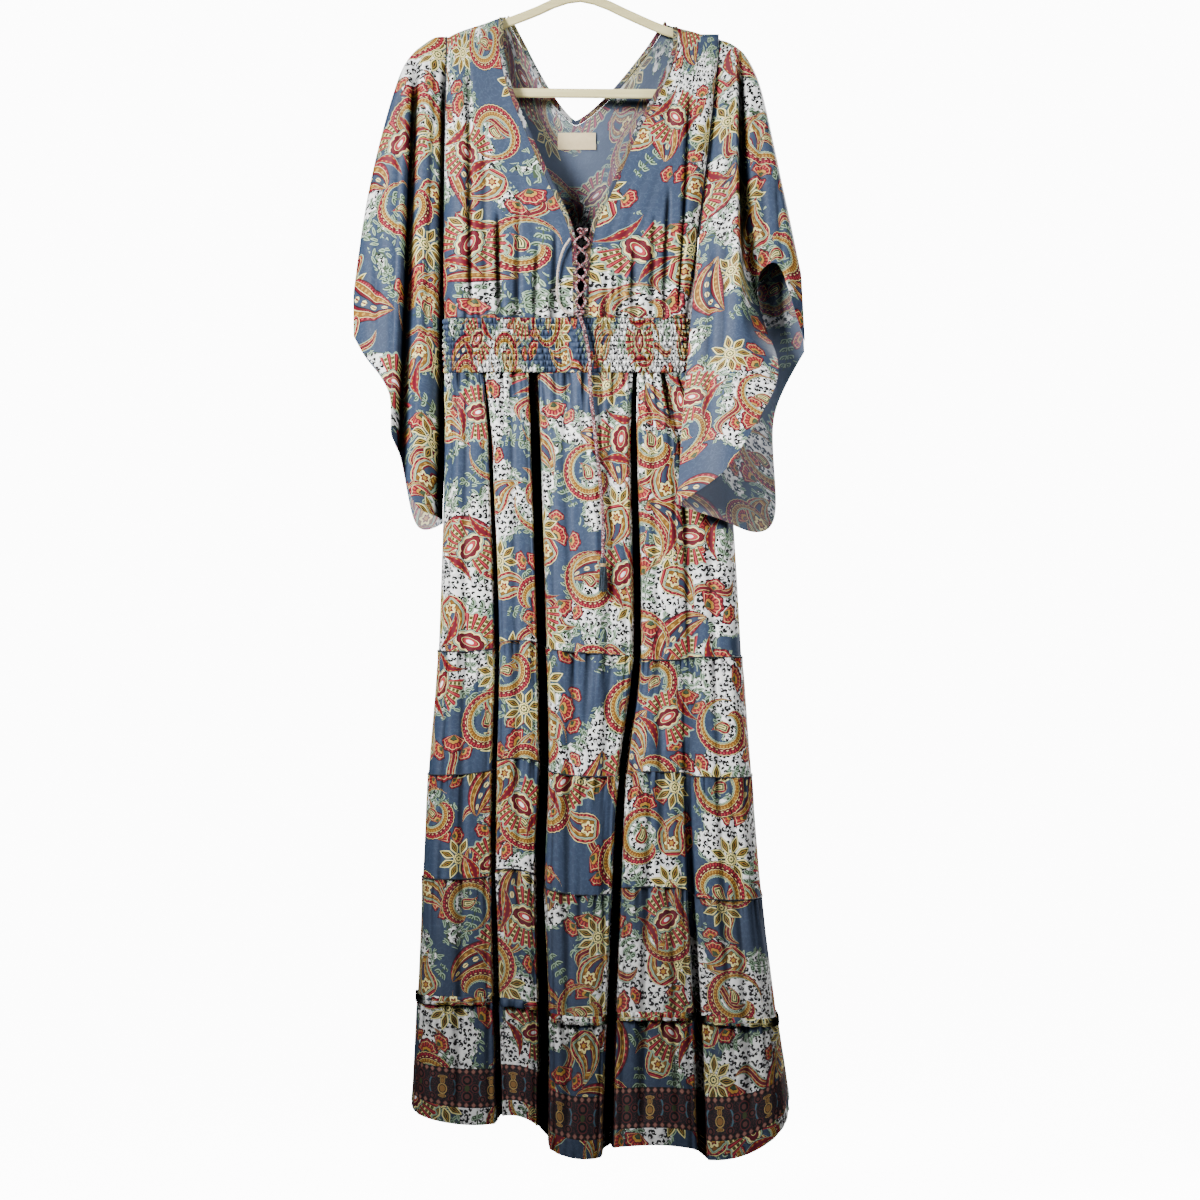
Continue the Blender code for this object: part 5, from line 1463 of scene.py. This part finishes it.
def draw_border(u, v):
    """Border print on the hem: a dark band of urns between two beaded lines; v is metres above the hem."""
    y = v - BORDER_MIDDLE
    x = abs((u * (1 / BORDER_UNIT)).fraction() - 0.5) * BORDER_UNIT
    far = BORDER_UNIT / 2 - x
    colour = mix(noise(join(u, v), 520.0, 1.0).over(0.56), tint(80, 70, 76), tint(128, 96, 98))
    body = oval(x, y + 0.003, 0.0062, 0.0072).most(oval(x, y - 0.0075, 0.0034, 0.0050))
    body = body.most(oval(x, y - 0.0125, 0.0064, 0.0022)).most(oval(x, y + 0.0125, 0.0052, 0.0022))
    urn = bands(body, tint(206, 186, 142), 0.42, tint(44, 38, 44), 0.62, tint(186, 158, 112))
    colour = mix(body.over(0.0), colour, urn)
    moon = oval(x - 0.0135, y, 0.0050, 0.0115).over(0.0) * oval(x - 0.0115, y, 0.0048, 0.0105).less(0.0)
    colour = mix(moon, colour, tint(132, 158, 170))
    for place_x, place_y, size in BORDER_RINGS:
        ring = oval(far - place_x, y - place_y, size, size)
        twist = bands(ring, tint(150, 96, 98), 0.34, tint(48, 40, 44), 0.80, tint(150, 112, 108))
        colour = mix(ring.over(0.0), colour, twist)
    colour = mix(oval(far, y, 0.0030, 0.0042).over(0.0), colour, tint(118, 128, 92))
    line = 1.0 - abs(abs(y) - BORDER_HALF) * (1 / 0.0036)
    beads = (u * (tau / 0.0092)).sine() * 0.6 + line
    lace = bands(beads, tint(40, 32, 36), 0.42, tint(140, 104, 100), 0.88, tint(190, 156, 146))
    return mix(line.over(0.0), colour, lace), abs(y).less(BORDER_HALF).most(line.over(0.0))


# The two lowest tiers are veiled grey, which dims their whites: painted shade of the dimmer light at the hem.
HEM_SHADE_VEIL = (0.17, tint(116, 116, 120))
SHADED_HEM_SIDE = cloth_material("printed crepe above hem with painted shade", veil=HEM_SHADE_VEIL)
BORDER_SIDE = cloth_material("printed crepe with border and painted shade", veil=HEM_SHADE_VEIL,
                             overlay=pattern_group("hem border", draw_border))
TIER_SIDES = (RIGHT_SIDE, RIGHT_SIDE, RIGHT_SIDE, SHADED_HEM_SIDE, BORDER_SIDE)
tiers = {}
for side, folds, panels, outward in HALVES:
    for index in range(len(SEAM_LEVELS)):
        tiers[index, side] = tier(index, side, folds, panels, outward)

# ---- seam shadow cords and header ----
# A thin dark cord along each of the three upper seams is painted shadow, the seam's shadow line; a rolled
# header, puffed by its gathers, stands on the seam of the hem tier: a strip of the same crepe sewn down
# through the tiers.
HEADER_HEIGHT = 0.014
HEADER_DEPTH = 0.0058
HEADER_STANDOFF = 0.0018
HEADER_FLAT = 0.26           # how full the header still is in the deep folds
CORD_RADIUS = 0.0011
CORD_STANDOFF = 0.0005
ARMHOLE_CORD = 0.0012


# Dark cloth of the seam cords, which are painted shadow lines at the seams.
def seam_shadow_material():
    made, tree, shader = new_material("seam shadow cloth", 0.75)
    paint(shader, mix(noise(object_place(tree), 420.0, 2.0), tint(28, 32, 44), tint(58, 66, 86)))
    return made


def ring_strip(name, rings, material, start=(0.0, 0.0), hollow=None):
    """Closed strip of cloth through rings of points."""
    girth, length = run_length(rings[0]) + start[0], run_length(rings[:, 0]) + start[1]
    place = np.stack(np.meshgrid(girth, length), axis=2)[:, :, ::-1]
    shade = None if hollow is None else np.repeat(hollow, rings.shape[1])
    return facing_out(new_mesh(name, rings, tube_faces(*rings.shape[:2]), [material], TRIM_ANGLE,
                               [("cloth", place)], shade))


def rings_round(line, radius, side, other, corners=6):
    """Rings of points round a line; side and other point across it."""
    angles = np.linspace(0, tau, corners + 1)[:-1]
    return np.stack([line + radius * (cos(a) * side + sin(a) * other) for a in angles], axis=1)


def rolled_header(side, folds, panels, outward):
    level = SEAM_LEVELS[3]
    where = places_across(folds, panels, level, 620)[2:-2]
    stations = skirt_stations(folds, panels, level)
    flat = spline_weights(len(stations), where) @ stations
    relief = PUCKER_DEPTH * np.maximum(0, gather_wave(panels, where, [panel.puckers for panel in panels]))
    z = LEVEL_Z[level] + seam_rise(panels, where)[:, 3]
    middle = np.stack([flat[:, 0], outward * (flat[:, 1] + relief), z], axis=1)
    normals = surface_normals(np.stack([middle + (0, 0, 0.01), middle]), -outward)[0]
    length = run_length(middle)
    full = np.full(len(where), HEADER_FLAT)
    for first, last in panel_spans(panels):
        share = np.clip((where - first) / (last - first), 0, 1)
        full += (1 - HEADER_FLAT) * smooth_step(4.5 * share * (1 - share))
    puff = np.clip(0.5 + 0.7 * crinkle(length, length * 0, 71 if side == "front" else 72, 0.019), 0, 1)
    rings = []
    for angle in np.linspace(0, tau, 15)[:-1]:
        swell = HEADER_DEPTH * full * (0.5 + 0.5 * cos(angle)) * (0.45 + 0.55 * puff)
        height = HEADER_HEIGHT * 0.46 * sin(angle) * (0.78 + 0.22 * puff)
        slant = 0.0014 * np.sin(length * 410) * sin(angle)
        rings.append(middle + normals * (HEADER_STANDOFF + swell + slant * full)[:, None]
                     + np.array([0, 0, 1.0]) * height[:, None])
    # Painted shade in the header's slack creases, and full painted shade where it runs into the deep folds.
    shade = np.maximum(0.60 * smooth_step((0.36 - puff) / 0.36), 1 - smooth_step((full - HEADER_FLAT) / 0.45))
    strip = ring_strip(f"cloth_header_{side}", np.stack(rings, axis=1), RIGHT_SIDE, (0.4, 0.7), shade)
    return fit(strip, f"header_{side}")


def seam_shadow_cord(index, side, outward):
    """Thin dark cord along the bottom edge of a tier: the painted shadow line of the seam."""
    middle = (tiers[index, side][1][-1] + tiers[index + 1, side][1][0]) / 2
    run = unit(np.gradient(middle, axis=0))
    out = unit(np.cross((0, 0, -1.0), run) * -outward)
    thick = CORD_RADIUS * (1 + 0.18 * np.sin(run_length(middle) * 900))
    rings = rings_round(middle + CORD_STANDOFF * out, thick[:, None], out, np.cross(run, out))
    return fit(ring_strip(f"seam_shadow_cord_{index + 1}_{side}", rings[2:-2], SEAM_SHADOW))


def armhole_shadow_cord(name, line, side):
    """Thin dark cord along the seam between a sleeve and the bodice, down to the underarm: the painted shadow
    line of that seam.
    """
    line = line[line[:, 2] > UNDERARM_Z]
    run = unit(np.gradient(line, axis=0))
    across = unit(np.cross(run, (side, 0.0, 0.0)))
    fit(ring_strip(name, rings_round(line, ARMHOLE_CORD, across, np.cross(across, run)), SEAM_SHADOW))


SEAM_SHADOW = seam_shadow_material()
armhole_shadow_cord("armhole_cord_left", armhole_left, -1)
armhole_shadow_cord("armhole_cord_right", armhole_right, 1)
for side, folds, panels, outward in HALVES:
    headed = rolled_header(side, folds, panels, outward)
    trims = [[seam_shadow_cord(index, side, outward)] for index in range(3)] + [[], [headed]]
    for index, sewn_on in enumerate(trims):
        piece, grid = tiers[index, side]
        cut_size(grid)

# ---- front lacing ----
# A printed rouleau cord laces the two bound edges from a small knot at the bust to another at the waist. A
# paler loop of the same cord hangs beside it. The dress holds all of it; only the tail below hangs free.
KNOT_TOP = (0.0035, -0.0475, -0.392)
KNOT_LOW = (-0.0010, -0.0500, -0.4990)
KNOT_SIZE = (0.0080, 0.0048, 0.0058)
KNOT_PINCH = 0.28
LACE_RADIUS = 0.0017
KNOT_CORD = 0.92 * LACE_RADIUS
LACE_Y = -0.0443
LACE_HOLD = 0.002
LACE_CROSSES = 5
LOOP_ROUTE = (
    (-0.0125, -0.047, -0.4015), (-0.0215, -0.047, -0.416), (-0.0275, -0.047, -0.436),
    (-0.0295, -0.047, -0.458), (-0.0285, -0.047, -0.480), (-0.020, -0.049, -0.496),
    (-0.010, -0.051, -0.4995),
)


def cord_cloth(name, first, second, third, size=520.0):
    """Narrow printed cord in three colours."""
    made, tree, shader = new_material(name, 0.7)
    place = object_place(tree)
    paint(shader, bands(noise(place, size, 1.5), first, 0.47, second, 0.57, third), noise(place, 2600.0, 1.0))
    return made


def smooth_route(points, steps):
    points = np.asarray(points, float)
    where = np.linspace(0, len(points) - 1, steps)
    return np.stack([along(np.arange(len(points)), points[:, axis], where) for axis in range(3)], axis=1)


def cord_curve(name, points, radius, material, cyclic=False):
    curve = bpy.data.curves.new(name, "CURVE")
    curve.dimensions = "3D"
    curve.bevel_depth = radius
    curve.bevel_resolution = 3
    curve.use_fill_caps = True
    line = curve.splines.new("POLY")
    line.points.add(len(points) - 1)
    for spot, point in zip(line.points, points):
        spot.co = (*point, 1.0)
    line.use_cyclic_u = cyclic
    curve.materials.append(material)
    return link(bpy.data.objects.new(name, curve))


def tied_knot(name, place):
    """Overhand knot drawn tight: a cord wound three times through itself."""
    turns = np.linspace(0, tau, 61)[:-1]
    wound = np.stack([(np.sin(turns) + 2 * np.sin(2 * turns)) / 3, -np.sin(3 * turns),
                      (np.cos(turns) - 2 * np.cos(2 * turns)) / 3], axis=1)
    points = np.array(place) + wound * (np.array(KNOT_SIZE) - KNOT_CORD)
    return cord_curve(name, points, KNOT_CORD, LACE_PRINT, cyclic=True)


LACE_PRINT = cord_cloth("printed cord", tint(60, 58, 74), tint(176, 96, 104), tint(208, 204, 204))
LACE_PALE = cord_cloth("pale cord", tint(196, 184, 176), tint(222, 214, 204), tint(150, 150, 160))
lace_reach = KNOT_SIZE[2] * (1 - KNOT_PINCH) + 1.2 * LACE_RADIUS
lace_z = np.linspace(KNOT_TOP[2] - lace_reach, KNOT_LOW[2] + lace_reach, 76)
lace_swing = np.linspace(0, pi * LACE_CROSSES, len(lace_z))
lace_swing = lace_swing + 0.28 * np.sin(lace_swing * 0.8) * np.sin(lace_swing / LACE_CROSSES)
lace_left, lace_right = (read_rows(rows, "edge_x", lace_z) for rows in (BODICE_LEFT, BODICE_RIGHT))
lace_way = ((lace_right - lace_left) / 2 + LACE_HOLD) * np.sin(lace_swing)
for name, node, sign, y in (("lace_strand_back", "lace_under", 1, LACE_Y),
                            ("lace_strand_front", "lace_over", -1, LACE_Y - 2.2 * LACE_RADIUS)):
    lace_x = (lace_left + lace_right) / 2 + sign * lace_way
    strand = np.stack([lace_x, np.full(len(lace_z), y), lace_z], axis=1)
    fit(cord_curve(name, strand, LACE_RADIUS, LACE_PRINT), node)
fit(tied_knot("knot_at_bust", KNOT_TOP), "lace_bow")
fit(tied_knot("knot_at_waist", KNOT_LOW), "lace_knot")
fit(cord_curve("lace_side_loop", smooth_route(LOOP_ROUTE, 60), LACE_RADIUS, LACE_PALE), "lace_loop")

# ---- lace tail and tassel ----
# The lace's free end hangs from the waist knot over the skirt, and ends in a yarn tassel: a head bound with
# fine thread and a skirt of cut strands. The frame's tassel is one solid; here each strand is its own yarn.
TAIL_ROUTE = (
    (0.0005, -0.0515, -0.5043), (0.0055, -0.0525, -0.520), (0.0095, -0.0525, -0.540),
    (0.013, -0.0530, -0.562), (0.013, -0.056, -0.590), (0.019, -0.062, -0.650),
    (0.026, -0.066, -0.715), (0.030, -0.070, -0.770), (0.030, -0.073, -0.8155),
)
TAIL_RADIUS = 0.0024
TASSEL_RADIUS = 0.0046
TASSEL_LENGTH = 0.0445
TASSEL_YARNS = 46
YARN_RADIUS = 0.00055
GOLDEN_TURN = 2.39996        # spreads the yarns evenly over the head
WRAP_TURNS = 7
WRAP_RADIUS = 0.00042
tail = cord_curve("lace_tail_cord", smooth_route(TAIL_ROUTE, 72), TAIL_RADIUS, LACE_PRINT)
fit(tail, "lace_tail")

YARN = cord_cloth("slate yarn", tint(50, 70, 86), tint(70, 94, 110), tint(104, 126, 140), 900.0)
WRAP = cord_cloth("beige thread", tint(190, 170, 140), tint(214, 196, 166), tint(170, 150, 120), 900.0)


def ring_tube(line, radius):
    """Rings of a thin tube along a line of points."""
    run = unit(np.gradient(line, axis=0))
    side = unit(np.cross(run, (0.31, 0.95, 0.02)))
    return rings_round(line, radius, side, np.cross(run, side))


def joined_tubes(name, tubes, material):
    faces, start = [], 0
    for rings in tubes:
        faces += tube_faces(*rings.shape[:2], start)
        start += rings.shape[0] * rings.shape[1]
    points = np.concatenate([rings.reshape(-1, 3) for rings in tubes])
    return new_mesh(name, points, faces, [material], TRIM_ANGLE)


tassel_x, tassel_y, tassel_top = TAIL_ROUTE[-1]
tassel_top -= SEAM
yarns = []
yarn_chance = np.random.default_rng(4)
for index in range(TASSEL_YARNS):
    angle = index * GOLDEN_TURN
    radius = TASSEL_RADIUS * 0.88 * ((index + 0.5) / TASSEL_YARNS) ** 0.5
    length = TASSEL_LENGTH * yarn_chance.uniform(0.92, 1.0)
    sway = yarn_chance.uniform(-0.25, 0.25, 2)
    part = np.linspace(0, 1, 14)
    neck = 1.0 - 0.30 * np.exp(-((part * length - 0.0095) / 0.0022) ** 2)
    spread = radius * neck * np.minimum(1.0, 0.55 + part * 9) * (1 + 0.30 * part)
    yarns.append(ring_tube(np.stack([
        tassel_x + spread * np.cos(angle + sway[0] * part) + 0.0006 * np.sin(part * 5 + index),
        tassel_y + spread * np.sin(angle + sway[1] * part),
        tassel_top - YARN_RADIUS - length * part,
    ], axis=1), YARN_RADIUS))
tassel = joined_tubes("yarn_tassel", yarns, YARN)
wrap_turns = np.linspace(0, tau * WRAP_TURNS, WRAP_TURNS * 22)
wrap_line = np.stack([
    tassel_x + TASSEL_RADIUS * 0.86 * np.cos(wrap_turns),
    tassel_y + TASSEL_RADIUS * 0.86 * np.sin(wrap_turns),
    tassel_top - 0.0078 - 0.0040 * wrap_turns / wrap_turns[-1],
], axis=1)
wrap = joined_tubes("tassel_wrap", [ring_tube(wrap_line, WRAP_RADIUS)], WRAP)
fit(tassel, "tassel")
fit(wrap)
